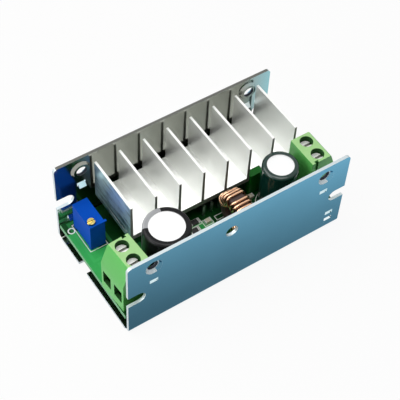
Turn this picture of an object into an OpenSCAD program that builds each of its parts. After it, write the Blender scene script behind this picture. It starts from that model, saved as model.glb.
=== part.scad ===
// Voltage regulator module: a folded metal channel that carries a circuit board with a finned heatsink.
// Millimetres. Origin at the centre of the channel's underside, X along the channel, Z up.
// The wall at -Y is the front wall, and the input terminals are at the -X end.

/* [Channel] */
// Length of the folded channel
channel_length = 70; // [67:1:90]
// Width over both walls
channel_width = 38; // [38:1:48]
// Height of the walls from the underside
channel_height = 30; // [29:1:36]
// Thickness of the sheet
sheet = 0.9; // [0.8:0.1:1.2]
// Outer radius of the two folds
fold_radius = 2; // [1.6:0.1:3]
// Radius of the walls' free corners
wall_corner = 1.3; // [0.5:0.1:2]

/* [Channel openings] */
// Width of the open-ended slots in the walls
end_slot_width = 4; // [3:0.1:5]
// Length of the open-ended slots
end_slot_length = 5.3; // [4:0.1:5.4]
// Height of the slots' centre line
end_slot_height = 15; // [14:0.5:16]
// Width of the notch at each end of the base
base_notch_width = 4.2; // [3:0.1:5]
// Distance of the base notch from the channel's middle line
base_notch_offset = 5.3; // [0:0.1:8]
// Diameter of the dimpled screw holes
dimple_hole = 3.2; // [2.5:0.1:3.4]
// Mouth diameter of a dimple
dimple_mouth = 5; // [4.8:0.1:6]
// Depth by which a dimple is pressed in
dimple_depth = 0.8; // [0.6:0.1:1]
// Distance of the dimples from the ends
dimple_from_end = 7.8; // [7:0.1:9]
// Distance of the dimples below the walls' top edge
dimple_from_top = 4.3; // [3.8:0.1:5]
// Diameter of the plain hole in the front wall
wall_hole = 3.8; // [3:0.1:5]
// Distance of the plain hole from the middle of the front wall
wall_hole_offset = 3.3; // [0:0.1:6]
// Distance of the plain hole below the top edge
wall_hole_from_top = 6.3; // [5:0.1:8]

/* [Pressed lugs] */
// Length of a lug along the wall
lug_length = 2.2; // [1.5:0.1:2.4]
// Height of a lug
lug_height = 1.3; // [1:0.1:1.6]
// Width of the shear cut beside a lug
lug_cut = 0.15; // [0.1:0.05:0.3]
// Step by which the upper lugs clear the inner face of the wall
upper_lug_step = 0.2; // [0.1:0.05:0.4]
// Step by which the board lugs clear the wall's inner face
board_lug_step = 0.2; // [0.1:0.05:0.4]
// Distance of the upper lugs below the dimples
upper_lug_below_dimple = 6; // [5:0.1:7]
// Distance of the board lugs from the ends
board_lug_from_end = 4.1; // [3:0.1:5]

/* [Circuit board] */
// Height of the board's underside
board_height = 5.4; // [5:0.1:7]
// Thickness of the board
board_thickness = 1.6; // [1:0.1:2]
// Gap between the board and each wall
board_gap = 0.7; // [0.4:0.1:0.9]
// Clearance of a lead in its hole, on the radius
hole_clearance = 0.12; // [0.08:0.01:0.2]
// Length by which leads stand out below the board
lead_end = 1.4; // [1:0.1:2]

/* [Heatsink] */
// Number of fins
fin_count = 8; // [7:1:9]
// Thickness of a fin at its tip
fin_tip = 0.7; // [0.5:0.1:0.9]
// Thickness of a fin at its root
fin_root = 0.95; // [0.9:0.05:1.3]
// Height of the fins above the heatsink's base
fin_height = 12.3; // [8:0.1:14]
// Thickness of the heatsink's base
heatsink_base = 1.7; // [1.5:0.1:2.5]
// Depth of the heatsink, front to rear
heatsink_depth = 18.5; // [18:0.1:19]
// Height of the heatsink's underside above the board
heatsink_lift = 6.6; // [6.4:0.1:8]
// Distance of the heatsink from the input end
heatsink_from_input = 11.3; // [10.5:0.1:12]
// Distance of the heatsink from the output end
heatsink_from_output = 4.75; // [3:0.05:6]
// Gap between the heatsink and the rear wall's dimples
heatsink_gap = 0.4; // [0.05:0.05:0.6]

/* [Power devices below the heatsink] */
// Width of a power device
device_width = 10; // [9.6:0.1:10.4]
// Thickness of a power device
device_thickness = 4.5; // [4.3:0.1:4.8]
// Length of a device's moulded case
device_case_length = 9.2; // [8.8:0.1:9.4]
// Length of the bare part of a device's tab
device_tab_length = 6.3; // [6:0.1:6.6]
// Thickness of the tab
device_tab = 1.3; // [1.1:0.1:1.4]
// Diameter of the hole in the tab
device_hole = 3.8; // [3.6:0.1:4]
// Distance of that hole from the tab's end
device_hole_from_end = 2.8; // [2.6:0.1:3]
// Spacing of the leads
device_pitch = 2.54; // [2.4:0.02:2.6]
// Width of a lead
device_lead_width = 0.8; // [0.6:0.1:0.9]
// Thickness of a lead
device_lead = 0.5; // [0.4:0.1:0.6]
// Length of a lead before it bends down
device_lead_run = 1.5; // [1.2:0.1:1.8]
// Depth of the leads below a device's mounting face
device_lead_depth = 2.7; // [2.4:0.1:2.9]
// Thickness of a thermal pad
thermal_pad = 0.3; // [0.2:0.1:0.5]
// Diameter of the heatsink screws
heatsink_screw = 3; // [2.5:0.5:3]
// Clearance of a screw in its tapped hole, on the radius
tapped_clearance = 0.05; // [0.02:0.01:0.1]
// Wall of an insulating bush
bush_wall = 0.3; // [0.2:0.05:0.35]
// Thickness of a bush's flange
bush_flange = 0.6; // [0.4:0.1:0.8]
// Height of a heatsink screw's head
heatsink_screw_head = 1.8; // [1.4:0.1:2]

/* [Terminal blocks] */
// Spacing of the two poles
pole_pitch = 5.08; // [5:0.02:5.2]
// Depth of a block from its wire face to its back
block_depth = 8.5; // [8.4:0.1:9]
// Height of a block above the board
block_height = 17.2; // [17:0.1:18]
// Height at which the slanted face starts
slant_height = 11.2; // [10:0.1:13]
// Depth of the slanted face at the top
slant_depth = 2.05; // [1.5:0.05:2.4]
// Small bevel along the top of the slanted face
slant_bevel = 0.35; // [0.2:0.05:0.6]
// Width of a wire entry
entry_width = 3.5; // [3:0.1:3.6]
// Height of a wire entry's lower edge
entry_low = 3.2; // [2.6:0.1:3.6]
// Height of a wire entry's upper edge
entry_high = 8; // [7.4:0.1:9]
// Depth of the dovetail groove at the side
dovetail_depth = 0.7; // [0.4:0.1:0.8]
// Mouth width of the dovetail groove
dovetail_mouth = 0.9; // [0.7:0.1:1.1]
// Distance of the dovetail groove from the wire face
dovetail_from_face = 6.95; // [6.8:0.05:7]
// Turn of the input block on the board, in degrees
input_block_turn = 3.1; // [0:0.1:4]
// Gap between the input block and the front wall
input_block_gap = 2.2; // [1.8:0.1:3]
// Gap between the output block and the heatsink's front
output_block_gap = 0.94; // [0.6:0.02:2]
// Overhang of the output block past the board's end
output_overhang = 1.2; // [0.8:0.1:1.6]

/* [Terminal clamps] */
// Diameter of a terminal screw's head
terminal_head = 3.5; // [3.2:0.1:3.6]
// Height of a terminal screw's head
terminal_head_height = 2; // [1.6:0.1:2.2]
// Depth of the head below the block's top
terminal_head_depth = 1.8; // [1.4:0.1:2]
// Diameter of a terminal screw's thread
terminal_thread = 2.5; // [2.2:0.1:2.5]
// Clearance around a terminal screw's head, on the radius
head_clearance = 0.15; // [0.1:0.01:0.2]
// Running clearance of a terminal screw, on the radius
screw_clearance = 0.06; // [0.04:0.01:0.08]
// Sliding clearance of a clamp at each side
clamp_clearance = 0.1; // [0.06:0.01:0.12]
// Distance of the screws from the wire face
screw_from_face = 5; // [4.9:0.05:5.1]
// Length of a clamp along the wire
clamp_length = 4; // [3.6:0.1:4]
// Width of a clamp
clamp_width = 3.5; // [3.4:0.05:3.6]
// Thickness of a clamp's sides
clamp_side = 0.4; // [0.3:0.05:0.42]
// Thickness of a clamp's floor
clamp_floor = 0.8; // [0.6:0.1:1]
// Thickness of a clamp's threaded web
clamp_web = 1.5; // [1.2:0.1:1.6]
// Height of the open clamp's floor above the board
clamp_rest = 1.8; // [1.6:0.1:2]
// Opening between an open clamp's floor and the contact
wire_space = 4; // [3.6:0.1:4]
// Travel of a clamp from open to closed
clamp_travel = 3.5; // [2.5:0.1:3.5]
// Thickness of the contact strip
contact = 0.6; // [0.5:0.1:0.7]
// Width of the contact strip
contact_width = 2.2; // [1.8:0.1:2.3]
// Diameter of a terminal's solder pin
terminal_pin = 1; // [0.8:0.1:1.1]

/* [Capacitors] */
// Diameter of the large capacitor
large_capacitor_diameter = 13; // [12:0.1:13]
// Height of the large capacitor above the board
large_capacitor_height = 20; // [16:0.5:22]
// Diameter of the can's bare top, large capacitor
large_capacitor_disc = 9.8; // [8:0.1:10]
// Gap between the large capacitor and the input block
large_capacitor_block_gap = 1.9; // [1:0.1:2.4]
// Gap between the large capacitor and the front wall
large_capacitor_wall_gap = 1; // [0.4:0.1:1.2]
// Diameter of the small capacitor
small_capacitor_diameter = 10.4; // [10:0.1:10.6]
// Height of the small capacitor above the board
small_capacitor_height = 17; // [14:0.5:20]
// Diameter of the can's bare top, small capacitor
small_capacitor_disc = 7.6; // [6:0.1:8]
// Gap between the small capacitor and the output block
small_capacitor_block_gap = 2.1; // [1.6:0.1:2.6]
// Gap between the small capacitor and the heatsink's front
small_capacitor_fin_gap = 1.1; // [1:0.1:1.3]
// Thickness of the capacitors' sleeves
sleeve = 0.2; // [0.15:0.05:0.3]
// Wall of the capacitors' cans
can_wall = 0.35; // [0.3:0.05:0.5]
// Radius of the shoulder at the top of a capacitor
can_shoulder = 0.9; // [0.6:0.1:1.2]
// Depth of the groove rolled in near the foot of a can
bead_depth = 0.45; // [0.3:0.05:0.6]
// Height of that groove's middle
bead_height = 2; // [1.8:0.1:2.2]
// Spacing of a capacitor's two leads
capacitor_pitch = 5; // [4:0.1:5.2]
// Diameter of a capacitor's leads
capacitor_lead = 0.6; // [0.5:0.1:0.8]

/* [Inductor and choke] */
// Outside diameter of the toroid core
core_outside = 11; // [10.6:0.1:11.2]
// Inside diameter of the toroid core
core_inside = 6.4; // [6.2:0.1:6.6]
// Length of the core along its axis
core_length = 4.8; // [4.4:0.1:5.2]
// Rounding of the core's edges
core_edge = 0.8; // [0.5:0.1:1]
// Diameter of the winding wire
wire = 0.88; // [0.7:0.02:0.88]
// Height of the core's lowest point above the board
core_lift = 0.8; // [0.8:0.1:1]
// Distance of the inductor from the middle of the board
inductor_offset = 6.5; // [6:0.1:7]
// Gap between the winding and the heatsink's front
inductor_fin_gap = 0.4; // [0.3:0.05:1]
// Width of the choke's body along the channel
choke_width = 4.4; // [4:0.1:4.6]
// Depth of the choke's body
choke_depth = 2.2; // [1.8:0.1:2.4]
// Rounding of the choke's upright edges
choke_corner = 0.4; // [0.2:0.05:0.6]
// Height of the choke's body above the board
choke_lift = 0.4; // [0.3:0.1:1]
// Height of the choke's top above the heatsink's base
choke_rise = 0.1; // [0:0.05:0.4]
// Depth of the notch for the choke in the heatsink's front edge
choke_notch_depth = 2.1; // [1.8:0.1:2.4]
// Gap around the choke in its notch
choke_gap = 0.2; // [0.1:0.05:0.3]
// Diameter of the choke's leads
choke_lead_diameter = 0.6; // [0.5:0.1:0.7]
// Spacing of the choke's two leads
choke_pitch = 2.54; // [2.4:0.02:2.6]

/* [Trimmer] */
// Width of the trimmer along the channel
trimmer_width = 4.6; // [4.5:0.1:5]
// Length of the trimmer across the channel
trimmer_length = 9.53; // [9.4:0.01:9.6]
// Height of the trimmer above the board
trimmer_height = 10; // [9.6:0.1:10.4]
// Distance of the trimmer from the board's input end
trimmer_from_end = 3; // [2.8:0.1:3.6]
// Gap between the trimmer and the rear wall
trimmer_wall_gap = 3.2; // [2:0.1:4]
// Diameter of the trimmer's screw
trimmer_screw_diameter = 2.2; // [2:0.05:2.25]
// Running clearance of the trimmer's screw, on the radius
trimmer_clearance = 0.05; // [0.03:0.01:0.08]
// Length by which the trimmer's screw stands out
trimmer_screw_out = 0.7; // [0.5:0.1:1.5]
// Distance of the trimmer's screw from the case's front end
trimmer_screw_from_end = 1.6; // [1.4:0.1:2]
// Distance of the trimmer's screw from the case's side
trimmer_screw_from_side = 1.35; // [1.32:0.01:2]
// Length of the trimmer's screw inside the case
trimmer_screw_depth = 3.6; // [3:0.1:5]
// Height of the trimmer's feet
trimmer_foot = 0.5; // [0.4:0.1:0.8]
// Spacing of the trimmer's pins
trimmer_pitch = 2.54; // [2.4:0.02:2.6]
// Diameter of the trimmer's pins
trimmer_pin = 0.5; // [0.4:0.05:0.6]
// Length of the trimmer's pins inside the case
trimmer_pin_depth = 1.5; // [1:0.1:2]

/* [Part shown] */
// Name of the piece to build, or all

/* [Hidden] */
$fn = 32;
// overlap that keeps cuts and unions clean
over = 0.02;

// the channel's inner faces and the board
input_end = -channel_length / 2;
output_end = channel_length / 2;
front_face = -channel_width / 2 + sheet;
rear_face = channel_width / 2 - sheet;
board_top = board_height + board_thickness;
lead_bottom = -board_thickness - lead_end;

// the heatsink
heatsink_left = input_end + heatsink_from_input;
heatsink_right = output_end - heatsink_from_output;
heatsink_rear = rear_face - dimple_depth - heatsink_gap;
heatsink_front = heatsink_rear - heatsink_depth;
heatsink_underside = board_top + heatsink_lift;
fin_pitch = (heatsink_right - heatsink_left - fin_root) / (fin_count - 1);
fin_first = heatsink_left + fin_root / 2;
// the devices' screws come up between the second and third fin and between the fourth and fifth
transistor_x = fin_first + 1.5 * fin_pitch;
rectifier_x = fin_first + 3.5 * fin_pitch;
device_top = heatsink_underside - thermal_pad;
// the tab's end stays this far inside the heatsink's rear edge
tab_margin = 0.5;
tab_end = heatsink_rear - tab_margin;
device_hole_y = tab_end - device_hole_from_end;
case_rear = tab_end - device_tab_length;
case_front = case_rear - device_case_length;
lead_level = device_top - device_lead_depth;
device_leg_y = case_front - device_lead_run;

// the terminal blocks
block_width = 2 * pole_pitch;
input_block_x = input_end + block_depth / 2;
input_block_y = front_face + input_block_gap + block_width / 2;
output_block_x = output_end + output_overhang - block_depth / 2;
output_block_y = heatsink_front - output_block_gap - block_width / 2;
chamber_front = 1.2;
chamber_back_wall = 0.7;
chamber_back = block_depth - chamber_back_wall;
chamber_width = clamp_width + 2 * clamp_clearance;
// gap that the clamp keeps from the contact when open and from the chamber's roof when closed
clamp_end_gap = 0.2;
contact_low = clamp_rest + clamp_floor + wire_space;
contact_high = contact_low + contact;
web_low = contact_high + clamp_end_gap;
clamp_top = web_low + clamp_web;
chamber_top = clamp_top + clamp_travel + clamp_end_gap;
head_low = block_height - terminal_head_depth - terminal_head_height;
// the round pin stands a little further in than the middle of the contact's flat stem
pin_inset = 0.1;
pin_from_face = chamber_back - contact / 2 - pin_inset;

// the capacitors
large_radius = large_capacitor_diameter / 2;
large_capacitor_x = input_end + block_depth + large_capacitor_block_gap + large_radius;
large_capacitor_y = front_face + large_capacitor_wall_gap + large_radius;
small_radius = small_capacitor_diameter / 2;
small_capacitor_x = output_end + output_overhang - block_depth - small_capacitor_block_gap - small_radius;
small_capacitor_y = heatsink_front - small_capacitor_fin_gap - small_radius;
bung_low = 0.4;
bung_top = 3.2;
// the roll stands clear of the bung, the can's side and the can's top
roll_low = 3.4;
roll_side_gap = 0.2;
roll_top_gap = 1;

// the inductor and the choke
// the wire's middle line keeps this distance from the core
wire_distance = wire / 2 + 0.04;
winding_outside = core_outside / 2 + wire_distance;
winding_half = core_length / 2 + wire_distance;
winding_inside = core_inside / 2 - wire_distance;
inductor_y = heatsink_front - inductor_fin_gap - core_outside / 2 - wire;
inductor_z = core_lift + core_outside / 2;
// the choke's notch is cut beside the third fin from the output end
choke_notch_width = choke_width + 2 * choke_gap;
choke_notch_left = fin_first + (fin_count - 3) * fin_pitch + fin_root / 2;
choke_x = choke_notch_left + choke_notch_width / 2;
choke_y = heatsink_front + choke_notch_depth - choke_gap - choke_depth / 2;
choke_height = heatsink_lift + heatsink_base + choke_rise - choke_lift;

// the trimmer
trimmer_x = input_end + trimmer_from_end;
trimmer_y = rear_face - trimmer_wall_gap - trimmer_length;

// the controller, its place measured from the middle of the channel and from the front wall
controller_size = [4.9, 3.9, 1.3];
controller_offset = [-4.6, 8.5];
controller_place = [controller_offset[0], front_face + controller_offset[1], 0];
controller_standoff = 0.15;

// Helpers

// a flat outline with four round corners
module round_outline(size, radius) {
    translate([-size[0] / 2, -size[1] / 2 + radius]) square([size[0], size[1] - 2 * radius]);
    translate([-size[0] / 2 + radius, -size[1] / 2]) square([size[0] - 2 * radius, size[1]]);
    for (along = [-1, 1], across = [-1, 1])
        translate([along * (size[0] / 2 - radius), across * (size[1] / 2 - radius)]) circle(r = radius);
}

// turns a flat outline up so that it is drawn across Y and Z and runs along X
module along_x(length) {
    rotate([90, 0, 90]) linear_extrude(height = length, center = true) children();
}

// turns a flat outline up so that it is drawn across X and Z and runs along Y
module along_y(length) {
    rotate([90, 0, 0]) linear_extrude(height = length, center = true) children();
}

// a box on the board, centred on its place
module chip(place, size) {
    translate([place[0] - size[0] / 2, place[1] - size[1] / 2, place[2]]) cube(size);
}

// Places of the leads, measured from the board's top

module at_board() {
    translate([0, 0, board_top]) children();
}

module at_input_block() {
    translate([input_block_x, input_block_y, board_top])
        rotate([0, 0, input_block_turn]) translate([-block_depth / 2, 0, 0]) children();
}

module at_output_block() {
    translate([output_block_x, output_block_y, board_top])
        rotate([0, 0, 180]) translate([-block_depth / 2, 0, 0]) children();
}

module at_block_pins() {
    for (pole = [-1, 1])
        translate([pin_from_face, pole * pole_pitch / 2, 0]) children();
}

module at_large_capacitor() {
    translate([large_capacitor_x, large_capacitor_y, board_top]) children();
}

module at_small_capacitor() {
    translate([small_capacitor_x, small_capacitor_y, board_top]) children();
}

module at_capacitor_leads() {
    for (side = [-1, 1])
        translate([side * capacitor_pitch / 2, 0, 0]) children();
}

module at_trimmer() {
    translate([trimmer_x, trimmer_y, board_top]) children();
}

module at_trimmer_pins() {
    for (pin = [-1, 0, 1])
        translate([trimmer_width / 2, trimmer_length / 2 + pin * trimmer_pitch, 0]) children();
}

module at_choke() {
    translate([choke_x, choke_y, board_top]) children();
}

module at_choke_leads() {
    for (side = [-1, 1])
        translate([side * choke_pitch / 2, 0, 0]) children();
}

module at_inductor_leads() {
    translate([inductor_offset, inductor_y, board_top]) {
        translate([first_lead_x, winding_outside, 0]) children();
        translate([winding_half, last_lead_y, 0]) children();
    }
}

module at_device_legs(device_x) {
    for (leg = [-1, 0, 1])
        translate([device_x + leg * device_pitch, device_leg_y, board_top]) children();
}

// every round lead, with its radius in $lead
module at_round_leads() {
    let ($lead = terminal_pin / 2) {
        at_input_block() at_block_pins() children();
        at_output_block() at_block_pins() children();
    }
    let ($lead = capacitor_lead / 2) {
        at_large_capacitor() at_capacitor_leads() children();
        at_small_capacitor() at_capacitor_leads() children();
    }
    let ($lead = trimmer_pin / 2) at_trimmer() at_trimmer_pins() children();
    let ($lead = choke_lead_diameter / 2) at_choke() at_choke_leads() children();
    let ($lead = wire / 2) at_inductor_leads() children();
}

module at_flat_leads() {
    at_device_legs(transistor_x) children();
    at_device_legs(rectifier_x) children();
}

// Channel

// the folded section of one side of the sheet, open at the top
module folded_outline(width, radius, height) {
    translate([-width / 2, radius]) square([width, height - radius]);
    translate([-width / 2 + radius, 0]) square([width - 2 * radius, height]);
    for (side = [-1, 1]) translate([side * (width / 2 - radius), radius]) circle(r = radius);
}

module channel_section() {
    difference() {
        folded_outline(channel_width, fold_radius, channel_height);
        translate([0, sheet])
            folded_outline(channel_width - 2 * sheet, fold_radius - sheet, channel_height);
    }
}

// what rounding takes off a corner, drawn at the corner of the first quadrant
module corner_waste(radius) {
    difference() {
        translate([-radius, -radius]) square(radius + 1);
        translate([-radius, -radius]) circle(r = radius);
    }
}

module slot_outline(width, length) {
    translate([-length + width / 2, 0]) circle(r = width / 2);
    translate([-length + width / 2, -width / 2]) square([length - width / 2 + 1, width]);
}

// puts wall features on both walls: Y runs inwards from the wall's outer face
module on_walls() {
    on_front_wall() children();
    on_rear_wall() children();
}

module on_front_wall() {
    translate([0, -channel_width / 2, 0]) children();
}

module on_rear_wall() {
    mirror([0, 1, 0]) translate([0, -channel_width / 2, 0]) children();
}

module at_dimples() {
    for (end = [-1, 1])
        translate([end * (channel_length / 2 - dimple_from_end), 0, channel_height - dimple_from_top])
            children();
}

module at_upper_lugs() {
    translate([0, 0, -upper_lug_below_dimple - lug_height / 2]) at_dimples() children();
}

// the lugs that hold the board sit at the output end of both walls and the input end of the rear wall
module at_board_lugs() {
    on_front_wall()
        translate([output_end - board_lug_from_end, 0, 0]) children();
    on_rear_wall()
        for (end = [-1, 1])
            translate([end * (channel_length / 2 - board_lug_from_end), 0, 0]) children();
}

// a tongue sheared on three sides, with its lower edge pressed inwards
module lug(depth) {
    root = lug_height + 0.3;
    along_x(lug_length)
        polygon([[0, root], [sheet, root], [sheet, lug_height], [sheet + depth, 0], [depth, 0], [0, lug_height]]);
}

module lug_opening() {
    opening = lug_length + 2 * lug_cut;
    translate([-opening / 2, -1, 0]) cube([opening, sheet + 2, lug_height]);
}

module board_lugs() {
    translate([0, 0, board_top]) lug(sheet + board_lug_step);
    translate([0, 0, board_height]) mirror([0, 0, 1]) lug(sheet + board_lug_step);
}

module board_lug_openings() {
    translate([0, 0, board_top]) lug_opening();
    translate([0, 0, board_height]) mirror([0, 0, 1]) lug_opening();
}

// a dimple has a flat ring round its hole and a flank drawn thinner than the sheet
dimple_ring = dimple_hole / 2 + 0.35;
dimple_flank = 0.4;

module dimple_boss() {
    translate([0, sheet - over, 0]) rotate([-90, 0, 0])
        cylinder(r1 = dimple_mouth / 2 + dimple_flank, r2 = dimple_ring + dimple_flank, h = dimple_depth + over);
}

module dimple_opening() {
    rotate([-90, 0, 0]) {
        cylinder(r1 = dimple_mouth / 2, r2 = dimple_ring, h = dimple_depth);
        translate([0, 0, -1]) cylinder(d = dimple_hole, h = dimple_depth + sheet + 2);
    }
}

module end_openings() {
    for (end = [0, 180])
        rotate([0, 0, end]) {
            translate([channel_length / 2, 0, end_slot_height])
                along_y(channel_width + 2) slot_outline(end_slot_width, end_slot_length);
            translate([channel_length / 2, 0, channel_height])
                along_y(channel_width + 2) corner_waste(wall_corner);
            for (side = [-1, 1])
                translate([channel_length / 2, side * (channel_width / 2 - fold_radius / 2), 0])
                    mirror([0, 0, 1]) along_y(fold_radius + over) corner_waste(wall_corner);
        }
    for (end = [0, 1])
        mirror([end, 0, 0])
            translate([channel_length / 2, base_notch_offset, -1])
                linear_extrude(height = sheet + 2) slot_outline(base_notch_width, end_slot_length);
}

module housing() {
    color("silver") {
        difference() {
            union() {
                along_x(channel_length) channel_section();
                on_walls() at_dimples() dimple_boss();
            }
            end_openings();
            on_walls() at_dimples() dimple_opening();
            on_walls() at_upper_lugs() lug_opening();
            at_board_lugs() board_lug_openings();
            on_front_wall()
                translate([-wall_hole_offset, -1, channel_height - wall_hole_from_top])
                    rotate([-90, 0, 0]) cylinder(d = wall_hole, h = sheet + 2);
        }
        on_walls() at_upper_lugs() lug(sheet + upper_lug_step);
        at_board_lugs() board_lugs();
    }
}

// Circuit board

module circuit_board() {
    color("green") difference() {
        translate([0, (front_face + rear_face) / 2, board_height])
            linear_extrude(height = board_thickness)
                square([channel_length, rear_face - front_face - 2 * board_gap], center = true);
        at_round_leads()
            translate([0, 0, -board_thickness - 1])
                cylinder(r = $lead + hole_clearance, h = board_thickness + 2);
        at_flat_leads()
            translate([0, 0, -board_thickness - 1])
                cylinder(r = device_lead_width / 2 + hole_clearance, h = board_thickness + 2);
    }
}

// height of a solder cone, and its thickness round the lead at its foot and at its tip
solder_height = 1;
solder_spread = 0.5;
solder_tip = 0.1;

module solder_cone(radius) {
    translate([0, 0, -board_thickness]) mirror([0, 0, 1])
        cylinder(r1 = radius + solder_spread, r2 = radius + solder_tip, h = solder_height);
}

module solder_joints() {
    color("lightgray") {
        at_round_leads() difference() {
            solder_cone($lead);
            translate([0, 0, lead_bottom]) cylinder(r = $lead, h = -lead_bottom);
        }
        at_flat_leads() difference() {
            solder_cone(device_lead_width / 2);
            translate([0, 0, lead_bottom - lead_bottom / 2])
                cube([device_lead_width, device_lead, -lead_bottom], center = true);
        }
    }
}

// Heatsink and the devices below it

module fin_outline() {
    polygon([
        [-fin_root / 2, 0], [fin_root / 2, 0],
        [fin_tip / 2, heatsink_base + fin_height], [-fin_tip / 2, heatsink_base + fin_height]
    ]);
}

module heatsink_section() {
    square([heatsink_right - heatsink_left, heatsink_base]);
    for (fin = [0 : fin_count - 1])
        translate([fin_root / 2 + fin * fin_pitch, 0]) fin_outline();
}

module at_device_screws() {
    for (device_x = [transistor_x, rectifier_x])
        translate([device_x, device_hole_y, 0]) children();
}

module heatsink() {
    color("gainsboro") difference() {
        translate([heatsink_left, (heatsink_front + heatsink_rear) / 2, heatsink_underside])
            along_y(heatsink_depth) heatsink_section();
        at_device_screws()
            translate([0, 0, heatsink_underside - 1])
                cylinder(r = heatsink_screw / 2 + tapped_clearance, h = heatsink_base + 2);
        translate([choke_notch_left, heatsink_front - 1, heatsink_underside - 1])
            cube([choke_notch_width, choke_notch_depth + 1, heatsink_base + 2]);
    }
}

tab_underside = device_top - device_tab;
bush_inside = heatsink_screw / 2 + tapped_clearance;
screw_head_top = tab_underside - bush_flange;
head_radius = 0.9 * heatsink_screw;

module heatsink_screws() {
    cross_width = 0.6;
    cross_depth = 0.8;
    color("silver") at_device_screws() difference() {
        union() {
            translate([0, 0, screw_head_top - heatsink_screw_head])
                cylinder(r = head_radius, h = heatsink_screw_head);
            translate([0, 0, screw_head_top - over])
                cylinder(d = heatsink_screw, h = heatsink_underside + heatsink_base - screw_head_top + over);
        }
        for (turn = [0, 90])
            translate([0, 0, screw_head_top - heatsink_screw_head]) rotate([0, 0, turn])
                cube([head_radius, cross_width, 2 * cross_depth], center = true);
    }
}

module insulating_bushes() {
    color("white") at_device_screws() difference() {
        union() {
            translate([0, 0, screw_head_top]) cylinder(r = head_radius, h = bush_flange);
            translate([0, 0, screw_head_top]) cylinder(r = bush_inside + bush_wall, h = bush_flange + device_tab);
        }
        translate([0, 0, screw_head_top - 1]) cylinder(r = bush_inside, h = bush_flange + device_tab + 2);
    }
}

module thermal_pads() {
    pad_margin = 0.4;
    color("gray") for (device_x = [transistor_x, rectifier_x]) difference() {
        translate([device_x - device_width / 2 - pad_margin, case_front, device_top])
            cube([device_width + 2 * pad_margin, tab_end - case_front, thermal_pad]);
        translate([device_x, device_hole_y, device_top - 1])
            cylinder(r = bush_inside, h = thermal_pad + 2);
    }
}

// the part of the tab that runs inside the moulded case
tab_inside = 0.8 * device_case_length;
tab_inside_width = device_width - 2;

module device_tab_plate(device_x) {
    translate([device_x - device_width / 2, case_rear, tab_underside])
        cube([device_width, device_tab_length, device_tab]);
    translate([device_x - tab_inside_width / 2, case_rear - tab_inside, tab_underside])
        cube([tab_inside_width, tab_inside + over, device_tab]);
}

module device_lead_set(device_x) {
    // the leads start this far inside the case
    inside = 1.2;
    for (leg = [-1, 0, 1])
        translate([device_x + leg * device_pitch, 0, 0]) {
            translate([-device_lead_width / 2, device_leg_y - device_lead / 2, lead_level])
                cube([device_lead_width, device_lead_run + device_lead / 2 + inside, device_lead]);
            translate([-device_lead_width / 2, device_leg_y - device_lead / 2, board_top + lead_bottom])
                cube([device_lead_width, device_lead, lead_level + device_lead - board_top - lead_bottom]);
        }
}

module device_leadframe(device_x) {
    color("lightgray") {
        difference() {
            device_tab_plate(device_x);
            translate([device_x, device_hole_y, tab_underside - 1]) cylinder(d = device_hole, h = device_tab + 2);
        }
        device_lead_set(device_x);
    }
}

module device_case(device_x) {
    color("black") difference() {
        translate([device_x - device_width / 2, case_front, device_top - device_thickness])
            cube([device_width, device_case_length, device_thickness]);
        device_tab_plate(device_x);
        device_lead_set(device_x);
    }
}

module transistor_case() {
    device_case(transistor_x);
}

module transistor_leadframe() {
    device_leadframe(transistor_x);
}

module rectifier_case() {
    device_case(rectifier_x);
}

module rectifier_leadframe() {
    device_leadframe(rectifier_x);
}

// Terminal blocks, drawn from the middle of the wire face with X running into the block

module block_section() {
    polygon([
        [0, 0], [block_depth, 0], [block_depth, block_height], [slant_depth + slant_bevel, block_height],
        [slant_depth, block_height - slant_bevel], [0, slant_height]
    ]);
}

module block_pole_openings() {
    translate([chamber_front, -chamber_width / 2, -1])
        cube([chamber_back - chamber_front, chamber_width, chamber_top + 1]);
    translate([-1, -entry_width / 2, entry_low])
        cube([chamber_front + 2, entry_width, entry_high - entry_low]);
    translate([screw_from_face, 0, chamber_top - 1])
        cylinder(r = terminal_thread / 2 + screw_clearance, h = block_height);
    translate([screw_from_face, 0, head_low])
        cylinder(r = terminal_head / 2 + head_clearance, h = block_height);
}

// the dovetail groove starts a little above the chambers and is open at the top
module dovetail_groove() {
    groove_low = chamber_top + 0.4;
    mouth = dovetail_mouth / 2;
    floor = mouth + 0.2;
    outside = 0.5;
    translate([dovetail_from_face, pole_pitch, groove_low])
        linear_extrude(height = block_height)
            polygon([
                [-mouth, outside], [mouth, outside], [mouth, 0],
                [floor, -dovetail_depth], [-floor, -dovetail_depth], [-mouth, 0]
            ]);
}

module terminal_block() {
    color("lightgreen") difference() {
        along_y(block_width) block_section();
        for (pole = [-1, 1]) translate([0, pole * pole_pitch / 2, 0]) block_pole_openings();
        dovetail_groove();
    }
}

// the fixed contact reaches through the clamp, and its foot is soldered into the board
module terminal_pins() {
    contact_front = 2;
    color("silver") for (pole = [-1, 1]) translate([0, pole * pole_pitch / 2, 0]) {
        translate([contact_front, -contact_width / 2, contact_low])
            cube([chamber_back - contact_front, contact_width, contact]);
        translate([chamber_back - contact, -contact_width / 2, 0])
            cube([contact, contact_width, contact_high]);
        translate([pin_from_face, 0, lead_bottom]) cylinder(d = terminal_pin, h = -lead_bottom);
    }
}

module terminal_screw(pole) {
    slot_width = 0.7;
    slot_depth = 0.9;
    color("white") translate([screw_from_face, pole * pole_pitch / 2, 0]) difference() {
        union() {
            translate([0, 0, head_low]) cylinder(d = terminal_head, h = terminal_head_height);
            translate([0, 0, web_low]) cylinder(d = terminal_thread, h = head_low - web_low + over);
        }
        translate([-terminal_head, -slot_width / 2, head_low + terminal_head_height - slot_depth])
            cube([2 * terminal_head, slot_width, slot_depth + 1]);
    }
}

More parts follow.
